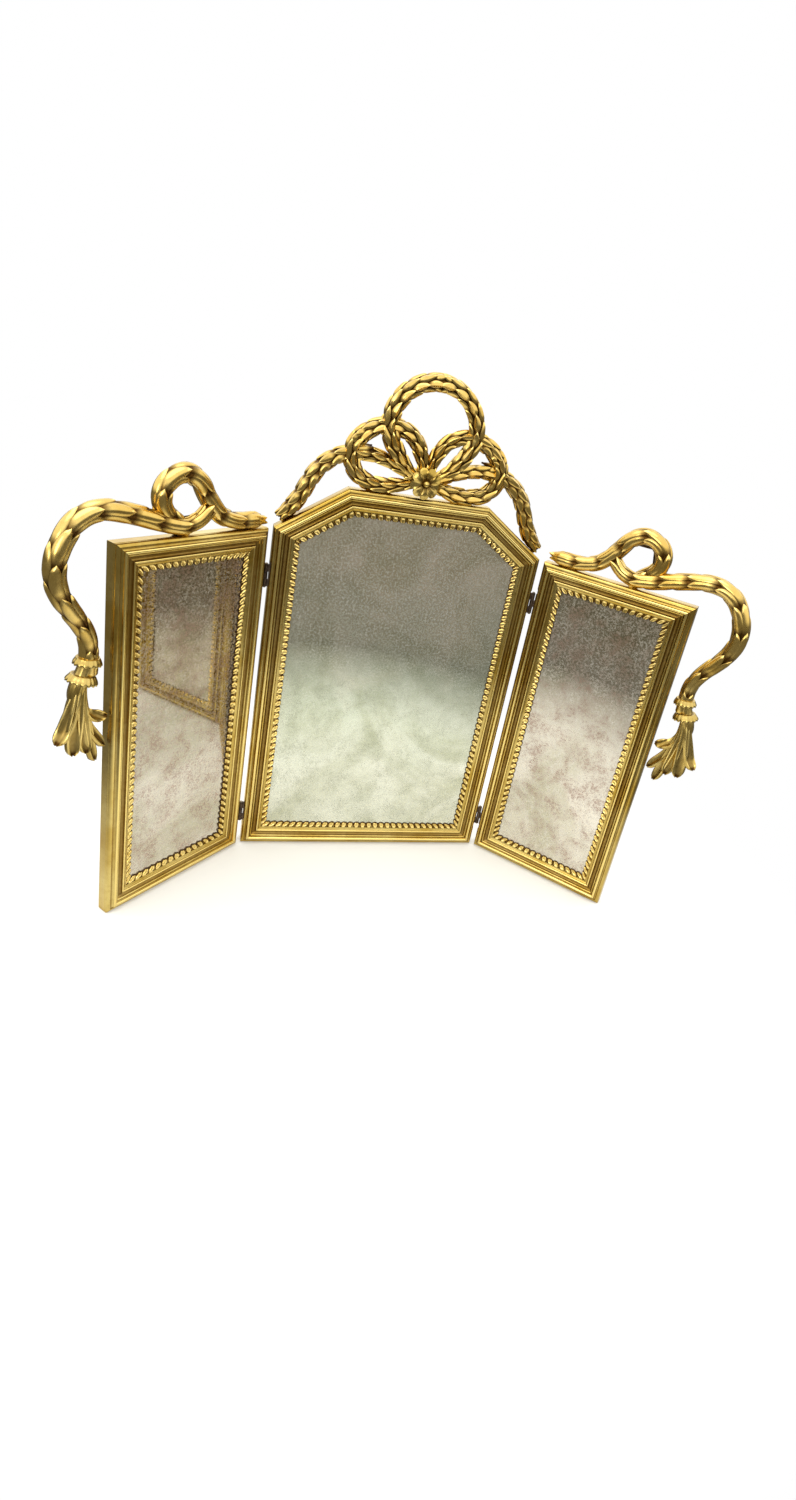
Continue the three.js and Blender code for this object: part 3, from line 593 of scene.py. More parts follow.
def bead_relief(along_mm, across):
    """(height above the ground, scallop of the inner edge, painted light) of the carved tongues and darts;
    the low parts are painted darker as shade, and the inner edge by the glass darkest as its shadow.

    along_mm runs along the slip; across is 0 at the moulding's lip and 1 at the inner edge."""
    x = (along_mm / BEAD_PITCH + 0.5) % 1.0 * BEAD_PITCH - BEAD_PITCH / 2
    width = TONGUE_HALF * math.sqrt(max(0.0, 1 - max(0.0, (across - 0.45) / 0.62) ** 2.2))
    width = min(width, TONGUE_HALF * (0.72 + 0.9 * across))
    edge = width - abs(x)
    tongue = float(smoothstep(0, 1.0, edge)) * TONGUE_HEIGHT
    hollow = float(smoothstep(1.1, 3.6, edge)) * float(smoothstep(0.10, 0.42, across))
    rib = RIB_HEIGHT * math.exp(-((x / RIB_WIDTH) ** 2)) * float(smoothstep(0.2, 0.5, across))
    tongue -= HOLLOW_DEPTH * hollow - rib * hollow
    gap = abs(abs(x) - BEAD_PITCH / 2)
    dart = float(smoothstep(0, 0.7, 0.75 * (1.05 - across) + 0.15 - gap)) * DART_HEIGHT
    height = max(tongue, dart)
    scallop = 1.0 - 0.22 * float(smoothstep(TONGUE_HALF - 1.2, BEAD_PITCH / 2, abs(x)))
    # Painted light: brighter with height, and painted dark by the glass as the edge's shadow.
    shade_tone = max(0.0, min(1.0, 0.85 * height - 0.12)) * (1 - float(smoothstep(0.90, 1.0, across)))
    return height, scallop, shade_tone


def slip(panel, node):
    """The carved slip between the moulding and the glass, one closed ring."""
    section = len(slip_section(0.0))
    points, shade_tones, rings = [], [], 0
    for i in range(len(panel.outline)):
        start, end, along, inward, mitre0, mitre1 = panel.edge(i)
        length = float(np.linalg.norm(end - start))
        middle = length / 2
        steps = round(length / BEAD_STEP)
        for k in range(steps):
            way = k / steps
            at_band = BAND_LINE * mitre0 + (length - BAND_LINE * (mitre0 + mitre1)) * way - middle
            for s, d, shade_tone in slip_section(at_band):
                first, last = s * mitre0, length - s * mitre1
                x, z = start + along * (first + (last - first) * way) + inward * s
                points.append((x, d, z))
                shade_tones.append(shade_tone)
            rings += 1
    faces = strip_faces(rings, section, close_rows=True, close_columns=True)
    faces = outward(points, faces)
    obj = add_mesh(node + "_carved", points, faces, panel, shade_tones, 50)
    return finish_piece(obj, panel, [gilt_slip], [node])


def slip_section(along_mm):
    """The slip's closed section at one place along it, as (inside the crest line, depth, painted light); the
    flanges and the face down to the glass are painted in full shade.
    """
    flange = RABBET_EDGE + 0.5
    glass = GLASS_FRONT - GAP
    out = [(flange, RABBET_DEPTH + GAP, 0.0), (BAND_START, RABBET_DEPTH + GAP, 0.0)]
    ground_edge = 0.0
    for k in range(BAND_ROWS):
        across = k / (BAND_ROWS - 1)
        height, scallop, shade_tone = bead_relief(along_mm, across)
        reach = (SIGHT_EDGE - BAND_START) * (1 - (1 - scallop) * across ** 3)
        ground = 10.0 + 0.9 * across
        out.append((BAND_START + reach * across, ground - height * (1 - 0.25 * across ** 4), shade_tone))
        ground_edge = BAND_START + reach
    out.append((ground_edge, glass, 0.0))
    out.append((flange, glass, 0.0))
    return out


# ------------------------------------------------------------------ carved ropes

class Route:
    """A smooth line through given points, measured along its length."""

    def __init__(self, points, step=1.0):
        p = np.array(points, float)
        p = np.vstack([2 * p[0] - p[1], p, 2 * p[-1] - p[-2]])
        fine = []
        for i in range(1, len(p) - 2):
            t = [0.0]
            for k in range(3):
                t.append(t[-1] + math.sqrt(np.linalg.norm(p[i + k] - p[i + k - 1])))
            for u in np.linspace(t[1], t[2], 24, endpoint=False):
                fine.append(self._blend(p[i - 1:i + 3], t, u))
        fine.append(p[-2])
        fine = np.array(fine)
        lengths = np.concatenate([[0], np.cumsum(np.linalg.norm(np.diff(fine, axis=0), axis=1))])
        self.length = float(lengths[-1])
        self.s = np.linspace(0, self.length, max(8, round(self.length / step)))
        self.points = np.stack([np.interp(self.s, lengths, fine[:, k]) for k in range(3)], 1)
        tangents = np.gradient(self.points, axis=0)
        self.tangents = tangents / np.linalg.norm(tangents, axis=1)[:, None]

    @staticmethod
    def _blend(p, t, u):
        def between(a, b, ta, tb):
            return a * (tb - u) / (tb - ta) + b * (u - ta) / (tb - ta)
        a = [between(p[k], p[k + 1], t[k], t[k + 1]) for k in range(3)]
        b = [between(a[k], a[k + 1], t[k], t[k + 2]) for k in range(2)]
        return between(b[0], b[1], t[1], t[2])

    def at(self, s, angle, radius):
        """Points at a length along the route, an angle round it (0 = in the panel's plane) and a radius."""
        s = np.clip(s, -30, self.length + 30)
        inside = np.clip(s, 0, self.length)
        place = np.stack([np.interp(inside, self.s, self.points[:, k]) for k in range(3)], -1)
        tangent = np.stack([np.interp(inside, self.s, self.tangents[:, k]) for k in range(3)], -1)
        tangent /= np.linalg.norm(tangent, axis=-1, keepdims=True)
        place = place + tangent * (s - inside)[..., None]
        back = np.array((0.0, 1.0, 0.0))
        across = np.cross(back, tangent)
        across /= np.linalg.norm(across, axis=-1, keepdims=True)
        up = np.cross(tangent, across)
        ring = across * np.cos(angle)[..., None] + up * np.sin(angle)[..., None]
        return place + ring * np.asarray(radius)[..., None]


LEAF_ALONG = 12
LEAF_ACROSS = 8
LEAF_WIDEST = 0.48      # the share of a leaf's length at which it is widest
LEAF_ROOTS = 0.66       # the share of the rope's radius that a leaf's walls go down to
CORE_SHARE = 0.78


def leaf_outline(a, pointed):
    """Half width of a laurel leaf, from 1 at its widest, at the way a from its root to its tip."""
    widest = LEAF_WIDEST
    root = 0.45 + 0.55 * np.sin(np.clip(a / widest, 0, 1) * math.pi / 2)
    tip = np.clip((a - widest) / (1 - widest), 0, 1)
    return root * np.power(np.clip(1 - tip ** (1.5 + 1.1 * (1 - pointed)), 0, 1), 0.55 + 0.35 * pointed)


def add_leaf(route, radius, root_s, direction, angle, length, half_width, look, rng, points, faces, shade_tones):
    """One carved laurel leaf on the rope: a crowned top with a raised midrib, and walls down to the core."""
    pointed, keel, lift, depth = look
    a = np.linspace(0, 1, LEAF_ALONG + 1)[:, None] ** 0.9
    b = np.linspace(-1, 1, LEAF_ACROSS + 1)[None, :]
    width = np.maximum(leaf_outline(a, pointed), 0.03) * half_width
    s = root_s + direction * length * (a + 0 * b)
    r0 = radius(np.clip(s, 0, route.length))
    arc = width * b / r0
    theta = angle + arc + 0.12 * (rng.random() - 0.5)
    rise = -depth + (depth + 0.02) * smoothstep(0.0, 0.50, a) + lift * smoothstep(0.5, 1.0, a)
    crown = 0.55 * depth * (1 - b ** 2) * (0.35 + 0.65 * np.sin(math.pi * np.clip(a, 0.05, 0.95)))
    rib = keel * np.exp(-((b * width / 1.3) ** 2)) * smoothstep(0.02, 0.3, a) * (1 - smoothstep(0.9, 1.0, a))
    sag = -0.10 * np.abs(b) ** 3 - 0.07 * smoothstep(0.9, 1.0, a)
    r = r0 * (1 + rise + crown + sag) + rib
    top = route.at(s, theta, r)
    floor = route.at(s, theta, r0 * LEAF_ROOTS + 0 * r)
    rows, columns = LEAF_ALONG + 1, LEAF_ACROSS + 1
    start = len(points)
    # Painted light on each leaf: the root, under the tip of the leaf before, and the edges are painted dark
    # as shade, the crown and midrib brighter as a highlight; the walls below are painted in full shade.
    shade_tone = 0.62 * smoothstep(0.20, 0.5, a) + 0.35 * smoothstep(0.78, 0.95, a)
    shade_tone = shade_tone + 0.21 / depth * crown + 0.12 * rib
    shade_tone = np.clip(shade_tone * (1 - 0.85 * np.abs(b) ** 5), 0, 1)
    points.extend(top.reshape(-1, 3).tolist())
    shade_tones.extend(np.broadcast_to(shade_tone, (rows, columns)).reshape(-1).tolist())
    rim = grid_rim(rows, columns)
    rim_top = [start + i * columns + j for i, j in rim]
    rim_low = [start + rows * columns + k for k in range(len(rim))]
    points.extend(floor[i, j].tolist() for i, j in rim)
    shade_tones.extend([0.0] * len(rim))
    own = strip_faces(rows, columns, start=start)
    count = len(rim)
    for k in range(count):
        own.append((rim_top[k], rim_low[k], rim_low[(k + 1) % count], rim_top[(k + 1) % count]))
    own.append(tuple(reversed(rim_low)))
    faces.extend(tuple(reversed(face)) if direction > 0 else face for face in own)


def laurel_rope(panel, name, strands):
    """A rope of overlapping laurel leaves round a core, from a list of strands."""
    points, faces, shade_tones = [], [], []
    rng = random.Random(name)
    for strand in strands:
        add_strand(strand, rng, points, faces, shade_tones)
    return add_mesh(name, points, faces, panel, shade_tones, 42)


class Strand:
    """One stretch of rope: its route, its radius, and runs of leaves as (from, to) lengths, root to tip."""

    def __init__(self, points, radius, pitch, rows, runs, look, turn=0.0):
        self.route = Route(points)
        self.radius = lambda s: radius(np.asarray(s) / self.route.length)
        self.pitch = pitch
        self.rows = rows
        self.runs = runs
        self.look = look[:4]
        self.overlap, self.fill = look[4:]
        self.turn = turn


def add_core(strand, points, faces, shade_tones):
    """The core between the leaves, painted in full shade so that it shows dark there, closed with rounded
    ends.
    """
    sides = 20
    count = max(6, round(strand.route.length / 5))
    s = np.linspace(0, strand.route.length, count)
    share = np.full(count, CORE_SHARE)
    s = np.concatenate([[s[0] - 3, s[0] - 2], s, [s[-1] + 2, s[-1] + 3]])
    share = np.concatenate([[0.3, 0.6], share, [0.6, 0.3]])
    angle = np.linspace(0, 2 * math.pi, sides, endpoint=False)[None, :] + 0 * s[:, None]
    r = strand.radius(np.clip(s, 0, strand.route.length)) * share
    ring = strand.route.at(s[:, None] + 0 * angle, angle, r[:, None] + 0 * angle)
    start = len(points)
    points.extend(ring.reshape(-1, 3).tolist())
    shade_tones.extend([0.0] * ring.shape[0] * sides)
    faces.extend(tuple(reversed(face)) for face in tube_faces(len(s), sides, start))


def add_strand(strand, rng, points, faces, shade_tones):
    add_core(strand, points, faces, shade_tones)
    for run_from, run_to in strand.runs:
        first, last = run_from * strand.route.length, run_to * strand.route.length
        direction = 1 if last > first else -1
        count = max(1, round(abs(last - first) / strand.pitch))
        pitch = abs(last - first) / count
        for row in range(strand.rows):
            angle = strand.turn + 2 * math.pi * row / strand.rows
            shift = 0.5 * (row % 2)
            for k in range(-1, count):
                root = first + direction * pitch * (k + shift - 0.1)
                length = pitch * (strand.overlap + 0.12 * (rng.random() - 0.5))
                tip = root + direction * length
                over = direction * (tip - last)
                if over > 0.25 * pitch:
                    length -= over - 0.25 * pitch * rng.random()
                if length < 0.6 * pitch:
                    continue
                mean = float(strand.radius(np.clip((root + tip) / 2, 0, strand.route.length)))
                half = mean * 2 * math.pi / strand.rows * strand.fill
                add_leaf(strand.route, strand.radius, root, direction, angle, length, half, strand.look, rng,
                         points, faces, shade_tones)


# ------------------------------------------------------------------ centre crest

ROPE_DEPTH = 13


def lifted(points):
    return [(x, d, z + EDGE) for x, z, d in points]


def on_side(points, side):
    return [(side * x, d, z) for x, d, z in lifted(points)]


def top_loop():
    legs = [(12, 727, 13), (29, 738, 12), (44, 752, 11), (57, 768, 10.5), (67, 785, 10.5)]
    arc = []
    for k in range(13):
        angle = math.radians(-6 + 16 * k)
        x, rise = BOW_LOOP_RADIUS * math.cos(angle), BOW_LOOP_RADIUS * math.sin(angle)
        arc.append((x, BOW_LOOP_HEIGHT + rise, ROPE_DEPTH))
    other = [(-x, z, d) for x, z, d in reversed(legs)]
    return lifted(legs + arc + other)


SIDE_LOOP = [
    (4, 733, 13), (9, 757, 13), (18, 777, 14), (30, 792, 15), (46, 801, 16), (63, 805, 16), (82, 803, 16),
    (101, 795, 15), (117, 781, 13), (127, 763, 12), (127, 743, 12), (119, 726, 12), (104, 714, 13),
    (84, 709, 13), (62, 709, 13), (40, 713, 13), (16, 720, 13),
]
INNER_TAIL = [(14, 727, 13), (42, 739, 14), (68, 749, 15), (94, 754, 17), (120, 754, 17)]
OUTER_TAIL = [
    (122, 754, 17), (137, 750, 16), (151, 743, 16), (164, 733, 16), (178, 718, 16), (189, 698, 16),
    (198, 677, 16), (208, 659, 16), (219, 645, 16), (228, 636, 16),
]


def loop_radius(full):
    """A rope that is slim at both ends, by the rosette, and full between them."""
    def radius(way):
        swelling = (full - ROPE_AT_ROSETTE) * smoothstep(0.04, 0.14, way) * smoothstep(0.04, 0.14, 1 - way)
        return ROPE_AT_ROSETTE + swelling
    return radius


def tail_radius(way):
    return ROPE_AT_ROSETTE + 2 * np.asarray(way)


def swag_radius(way):
    return 11 + 1.2 * smoothstep(0, 0.3, way) - 3.6 * smoothstep(0.86, 1, way)


# A look is (how pointed, midrib height, tip lift, depth, overlap, fill) of the leaves.
BOW_LOOK = (0.85, 1.1, 0.07, 0.21, 1.32, 0.55)


def crest():
    both_ways = [(0.0, 0.5), (1.0, 0.5)]
    one_way = [(0.0, 1.0)]
    strands = [Strand(top_loop(), loop_radius(BOW_ROPE_RADIUS), 28, 6, both_ways, BOW_LOOK, 0.3)]
    for side in (-1, 1):
        loop, tail = on_side(SIDE_LOOP, side), on_side(INNER_TAIL, side)
        strands.append(Strand(loop, loop_radius(SIDE_LOOP_RADIUS), 27, 6, both_ways, BOW_LOOK, 0.2))
        strands.append(Strand(tail, tail_radius, 27, 5, one_way, BOW_LOOK))
    bow = laurel_rope(centre, "crest_bow_carved", strands)
    finish_piece(bow, centre, [gilt_rope], ["crest_bow"])
    for name, side in SIDES.items():
        swag = laurel_rope(centre, f"crest_{name}_swag_carved", [
            Strand(on_side(OUTER_TAIL, side), swag_radius, 29, 5, one_way, BOW_LOOK, 0.4)])
        finish_piece(swag, centre, [gilt_rope], [f"crest_{name}_swag"])


PETALS = 9
PETAL_START, PETAL_LENGTH = 5, 22
PETAL_ROOT_HALF, PETAL_SWELL = 2.0, 5.6
PETAL_BACK = 2.6


def petal_half_width(a):
    half = PETAL_ROOT_HALF + PETAL_SWELL * math.sin(math.pi * min(a * 0.80 + 0.06, 1)) ** 0.8
    if a < 0.86:
        return half
    return half * math.sqrt(max(0.02, 1 - ((a - 0.86) / 0.15) ** 2))


def rosette():
    """Spoon-shaped petals round a button, in front of the bow's crossing."""
    points, faces, shade_tones = [], [], []
    rows, columns = 11, 9
    for petal in range(PETALS):
        turn = 2 * math.pi * (petal + 0.5) / PETALS
        top, low = [], []
        for i in range(rows):
            a = i / (rows - 1)
            radial = PETAL_START + PETAL_LENGTH * a
            half = petal_half_width(a)
            for j in range(columns):
                b = -1 + 2 * j / (columns - 1)
                rib = 0.5 * math.exp(-((b / 0.18) ** 2))
                cup = 2.4 * abs(b) ** 2.2 * math.sin(math.pi * min(1, a + 0.1)) + rib
                d = -2.2 - 2.6 * math.sin(math.pi * a * 0.9) + 3.0 * a ** 3 - cup
                side = b * half
                x = radial * math.sin(turn) + side * math.cos(turn)
                z = radial * math.cos(turn) - side * math.sin(turn)
                top.append((x, d, z + ROSETTE_HEIGHT + EDGE))
                low.append((x * 0.98, PETAL_BACK, z * 0.98 + ROSETTE_HEIGHT + EDGE))
                # Painted light: the petals darker by their roots and edges as shade, paler towards their
                # tips.
                shade_tones.append(max(0.0, min(1.0, 0.75 * a + 0.15 * cup - 0.3 * abs(b) ** 6)))
        add_slab(top, low, rows, columns, 0.1, points, faces, shade_tones)
    add_dome(points, faces, shade_tones, (0, -2.5, ROSETTE_HEIGHT + EDGE), 6.2, 8.0)
    obj = add_mesh("crest_rosette_carved", points, faces, centre, shade_tones, 50)
    finish_piece(obj, centre, [gilt_ornament], ["crest_rosette"])


def add_dome(points, faces, shade_tones, base, radius, height):
    """A round button whose back is flat, standing forward from base."""
    rings, sides = 8, 24
    start = len(points)
    for i in range(rings):
        angle = math.pi / 2 * i / rings
        for j in range(sides):
            turn = 2 * math.pi * j / sides
            r = radius * math.cos(angle)
            across, up = r * math.cos(turn), r * math.sin(turn)
            points.append((base[0] + across, base[1] - height * math.sin(angle), base[2] + up))
            # The button is painted brighter towards its front as a highlight.
            shade_tones.append(0.3 + 0.7 * i / rings)
    points.append((base[0], base[1] - height, base[2]))
    shade_tones.append(1.0)
    own = strip_faces(rings, sides, close_columns=True, start=start)
    apex = len(points) - 1
    last = start + (rings - 1) * sides
    own += [(last + j, last + (j + 1) % sides, apex) for j in range(sides)]
    own.append(tuple(start + j for j in reversed(range(sides))))
    faces.extend(outward(points, own))


# ------------------------------------------------------------------ wing crests

SHORT_STRAND = [
    (2, 629, 14), (22, 629, 14), (42, 629, 15), (62, 632, 15), (82, 640, 16), (98, 655, 16),
    (112, 674, 17), (126, 694, 17), (147, 706, 18), (170, 701, 19), (185, 685, 20), (187, 665, 21),
    (178, 649, 22), (166, 639, 22),
]
LONG_STRAND = [
    (112, 651, 12), (126, 638, 13), (148, 630, 14), (173, 633, 16), (198, 640, 18), (224, 648, 19),
    (250, 655, 20), (275, 659, 20), (298, 656, 20), (318, 644, 20), (333, 623, 20), (342, 598, 20),
    (343, 574, 20), (336, 551, 20), (323, 529, 20), (309, 508, 20), (299, 488, 20), (295, 470, 20),
    (295, 457, 20),
]
TASSEL_AXIS = [
    (295, 457, 20), (295, 450, 20), (297, 442, 20), (302, 429, 20), (309, 415, 20), (313, 402, 20),
    (315, 386, 20), (316, 368, 20),
]
NECK_RADIUS = 11.4
NECK_TAPER = 6.5
NECK_FLUTES = 10
# Each collar is its short axis, its radii above and below, and its count of ruffles.
COLLARS = [
    ([(295.2, 454, 20), (295.7, 448, 20), (296.4, 442.5, 20)], 15.6, 19.2, 15),
    ([(302.2, 429, 20), (303.6, 423, 20), (305.2, 417, 20)], 16.6, 21.4, 17),
]
# Each lobe is its centreline, the half width that it swells to, and the way that its hollow faces:
# 0 to the front, 1 outwards from the frame, -1 towards the frame, 2 to the back.
TASSEL_LOBES = [
    ([(312, 416, 17), (317, 398, 14), (324, 374, 14), (334, 348, 15), (344, 331, 15)], 10.0, 0.6),
    ([(309, 416, 14), (314, 394, 11), (319, 364, 10), (322, 334, 11), (323, 310, 13)], 11.0, 0.1),
    ([(307, 416, 14), (310, 392, 11), (309, 362, 10), (306, 332, 11), (303, 307, 13)], 9.8, 0.0),
    ([(305, 416, 16), (306, 390, 13), (302, 356, 13), (295, 320, 15), (289, 286, 18)], 9.2, -0.3),
    ([(305, 414, 18), (305, 384, 17), (297, 366, 16), (283, 358, 16), (270, 356, 16)], 8.4, -0.7),
    ([(307, 412, 20), (305, 378, 18), (294, 342, 18), (280, 318, 19), (273, 303, 20)], 8.2, -0.5),
    ([(309, 414, 25), (315, 378, 28), (317, 344, 29), (312, 318, 28), (311, 308, 27)], 9.5, 2.0),
    ([(307, 412, 24), (307, 374, 26), (298, 340, 27), (288, 316, 26), (284, 306, 25)], 9.5, 2.3),
]


def on_wing(points, side):
    return [(side * (PIN_OUT + u), d, z + EDGE) for u, z, d in points]


SHORT_START_RADIUS = 8
LONG_START_RADIUS = 11


def short_radius(way):
    return SHORT_START_RADIUS + 4.5 * smoothstep(0, 0.05, way) + smoothstep(0.1, 0.5, way)


def long_radius(way):
    swelling = (SCROLL_RADIUS - LONG_START_RADIUS) * smoothstep(0, 0.25, way)
    taper = (SCROLL_RADIUS - SCROLL_END_RADIUS) * smoothstep(0.6, 1, way)
    return LONG_START_RADIUS + swelling - taper


WING_LOOK = (0.45, 0.3, 0.07, 0.13, 1.28, 0.68)


def scroll(panel):
    side = panel.side
    backwards = [(1.0, 0.0)]
    front = -math.pi / 2
    strands = [
        Strand(on_wing(SHORT_STRAND, side), short_radius, 44, 5, backwards, WING_LOOK, front + 0.5),
        Strand(on_wing(LONG_STRAND, side), long_radius, 47, 5, backwards, WING_LOOK, front + 0.4),
    ]
    obj = laurel_rope(panel, panel.body + "_scroll_carved", strands)
    finish_piece(obj, panel, [gilt_rope], [panel.body + "_scroll"])


COLLAR_SCALLOP = 1.4    # how far the folds reach down at the collar's lower edge
COLLAR_WALL = 0.62      # the share of the lower radius that the underside closes in to


def add_collar(route, s_top, s_bottom, r_top, r_bottom, ruffles, points, faces, shade_tones):
    """A ruffled collar: a flaring ring of rounded folds with a scalloped lower edge."""
    sides = ruffles * 8
    rows = 9
    start = len(points)
    angle = np.linspace(0, 2 * math.pi, sides, endpoint=False)
    fold = 0.5 + 0.5 * np.cos(ruffles * angle)
    profile = []
    for i in range(rows):
        a = i / (rows - 1)
        s = s_top + (s_bottom - s_top) * a + COLLAR_SCALLOP * a * (fold - 0.5)
        flare = (r_bottom - r_top) * math.sin(a * math.pi / 2) ** 1.2
        r = r_top + flare + (0.5 + 0.9 * a) * (fold - 0.5)
        # Painted light: the folds' crests paler, their valleys and the underside darker as shade.
        profile.append((s, r, np.clip(0.42 + 0.58 * fold * (0.4 + 0.6 * a), 0, 1)))
    s = s_bottom + COLLAR_SCALLOP * (fold - 0.5)
    profile.append((s + 0.9, profile[-1][1] - 0.8, 0.35 * fold))
    profile.append((s - 1.5, np.full(sides, r_bottom * COLLAR_WALL), 0 * fold))
    profile.append((np.full(sides, s_top - 0.6), np.full(sides, r_top * 0.6), 0 * fold))
    for s, r, shade_tone in profile:
        ring = route.at(s + 0 * angle, angle, r + 0 * angle)
        points.extend(ring.tolist())
        shade_tones.extend(np.broadcast_to(shade_tone, (sides,)).tolist())
    faces.extend(outward(points, strip_faces(len(profile), sides, True, True, start)))


LOBE_ROOT_HALF = 7.4


def add_lobe(line, half_width, facing, side, points, faces, shade_tones):
    """One channelled acanthus lobe: raised rounded edges, a hollow between them and a rolled tip."""
    route = Route(on_wing(line, side))
    rows, columns = 26, 13
    out = math.pi / 2 * facing
    face = np.array((side * math.sin(out), -math.cos(out), 0.0))
    top, low = [], []
    for a in np.linspace(0, 1, rows):
        inside = a * route.length
        place = np.array([np.interp(inside, route.s, route.points[:, k]) for k in range(3)])
        tangent = np.array([np.interp(inside, route.s, route.tangents[:, k]) for k in range(3)])
        tangent /= np.linalg.norm(tangent)
        normal = face - tangent * float(face @ tangent)
        normal /= np.linalg.norm(normal)
        across = np.cross(tangent, normal)
        half = LOBE_ROOT_HALF + (half_width - LOBE_ROOT_HALF + 1.2) * float(smoothstep(0.05, 0.66, a))
        half *= math.sqrt(max(0.05, 1 - max(0.0, (a - 0.80) / 0.2) ** 2.5))
        roll = float(smoothstep(0.78, 1.0, a))
        channel = float(smoothstep(0.12, 0.5, a))
        # The rolled tip is painted darker as its shade.
        tip_shade = 0.55 * float(smoothstep(0.93, 1.0, a))
        for j in range(columns):
            b = -1 + 2 * j / (columns - 1)
            rim = math.exp(-(((abs(b) - 0.74) / 0.22) ** 2))
            hollow = math.exp(-((b / 0.42) ** 2))
            height = 3.0 * math.sqrt(max(0.0, 1 - b ** 6)) + (1.9 * rim - 1.6 * hollow) * channel
            height += 2.6 * roll
            top.append((place + across * (half * b) + normal * height).tolist())
            underside = place + across * (half * b * 0.9) - normal * (1.5 + 1.5 * (1 - b * b))
            low.append(underside.tolist())
            # Painted light: the raised rims brighter, the hollow and the tip darker as shade.
            shade_tones.append(min(1.0, max(0.05, 0.20 + 0.75 * rim + 0.25 * (1 - a) - tip_shade)))
    add_slab(top, low, rows, columns, 0.25, points, faces, shade_tones)


def tassel(panel):
    """A fluted neck, two ruffled collars and a skirt of lobes."""
    side = panel.side
    points, faces, shade_tones = [], [], []
    axis = Route(on_wing(TASSEL_AXIS, side))
    sides, rows = 32, 40
    angle = np.linspace(0, 2 * math.pi, sides, endpoint=False)
    flutes = np.cos(NECK_FLUTES * angle)
    start = len(points)
    for s in np.linspace(-2, axis.length, rows):
        taper = NECK_TAPER * float(smoothstep(0.60, 1.0, s / axis.length))
        ring = axis.at(s + 0 * angle, angle, NECK_RADIUS - taper + 0.45 * flutes)
        points.extend(ring.tolist())
        # Painted light: the flutes' hollows darker as shade, their ridges paler.
        shade_tones.extend((0.45 + 0.2 * flutes).tolist())
    faces.extend(outward(points, tube_faces(rows, sides, start)))
    for line, r_top, r_bottom, ruffles in COLLARS:
        collar_axis = Route(on_wing(line, side))
        add_collar(collar_axis, 1, collar_axis.length - 1, r_top, r_bottom, ruffles, points, faces, shade_tones)
    for line, half_width, facing in TASSEL_LOBES:
        add_lobe(line, half_width, facing, side, points, faces, shade_tones)
    obj = add_mesh(panel.body + "_tassel_carved", points, faces, panel, shade_tones, 48)
    finish_piece(obj, panel, [gilt_ornament], [panel.body + "_tassel"])


# ------------------------------------------------------------------ pieces kept from the CAD

def dress(node, material, smooth_deg=None, bevel_mm=0.0):
    obj = frame["nodes"][node]
    obj.data.materials.clear()
    obj.data.materials.append(material)
    if smooth_deg is not None:
        obj.data.shade_smooth()
        obj.data.set_sharp_from_angle(angle=math.radians(smooth_deg))
    if bevel_mm:
        bevel = obj.modifiers.new("arris", "BEVEL")
        bevel.width = bevel_mm * MM
        bevel.segments = 2
        bevel.limit_method = "ANGLE"
        bevel.angle_limit = math.radians(50)
        bevel.harden_normals = False


def hardware():
    for name in SIDES:
        for level in HINGE_HEIGHTS:
            hinge = f"{name}_{level}_hinge"
            for leaf in ("centre_leaf", "wing_leaf"):
                dress(f"{hinge}_{leaf}", dark_bronze, 35, 0.25)
            dress(f"{hinge}_pin", dull_steel, 40)
            for owner in ("centre", "wing"):
                for row in ("top", "bottom"):
                    dress(f"{hinge}_{owner}_{row}_screw", dull_steel, 40)
    for body, glass in (("centre", centre_glass), ("left_wing", left_glass), ("right_wing", right_glass)):
        dress(body + "_mirror_glass", glass)
        dress(body + "_backing_board", board_wood, None, 0.6)


BRAD_CLEAR = 45         # from a member's corner to its first brad
BRAD_PITCH = 130


def brads(panel):
    """Small nails driven flat into the rabbet's side, holding the backing board."""
    points, faces, shade_tones = [], [], []
    for i in range(len(panel.outline)):
        start, end, along, inward = panel.edge(i)[:4]
        length = float(np.linalg.norm(end - start))
        clear = BRAD_CLEAR
        count = max(1, round((length - 2 * clear) / BRAD_PITCH))
        single = count == 1 and length < 150
        for k in range(count + 1):
            at = length / 2 if single else clear + (length - 2 * clear) * k / count
            root = start + along * at + inward * (RABBET_EDGE - 4)
            tip = start + along * (at + 1.5) + inward * (RABBET_EDGE + 8.5)
            add_nail(root, tip, BOARD_BACK + 0.95, 0.8, points, faces, shade_tones)
            if single:
                break
    obj = add_mesh(panel.body + "_brads", points, faces, panel, shade_tones, 40)
    finish_piece(obj, panel, [dull_steel])


def add_nail(root, tip, depth, radius, points, faces, shade_tones):
    sides = 8
    start = len(points)
    axis = np.array((tip[0] - root[0], 0, tip[1] - root[1]))
    axis /= np.linalg.norm(axis)
    side_axis = np.cross(axis, (0, 1, 0))
    head = radius * 1.8
    head_end = tip + 0.6 * axis[[0, 2]]
    for centre_point, r in ((root, radius), (tip, radius), (tip, head), (head_end, head)):
        for k in range(sides):
            turn = 2 * math.pi * k / sides
            offset = side_axis * math.cos(turn) * r + np.array((0, 1, 0)) * math.sin(turn) * min(r, 0.9)
            points.append((centre_point[0] + offset[0], depth + offset[1], centre_point[1] + offset[2]))
            shade_tones.append(0.5)
    faces.extend(outward(points, tube_faces(4, sides, start)))


# ------------------------------------------------------------------ build

for panel in (centre, *wings.values()):
    for index, member_name in enumerate(panel.names):
        member(panel, index, member_name, f"{panel.body}_{member_name}")
    slip(panel, panel.body + "_beaded_slip")
    brads(panel)
crest()
rosette()
for panel in wings.values():
    scroll(panel)
    tassel(panel)
hardware()


# ------------------------------------------------------------------ floor, light and camera

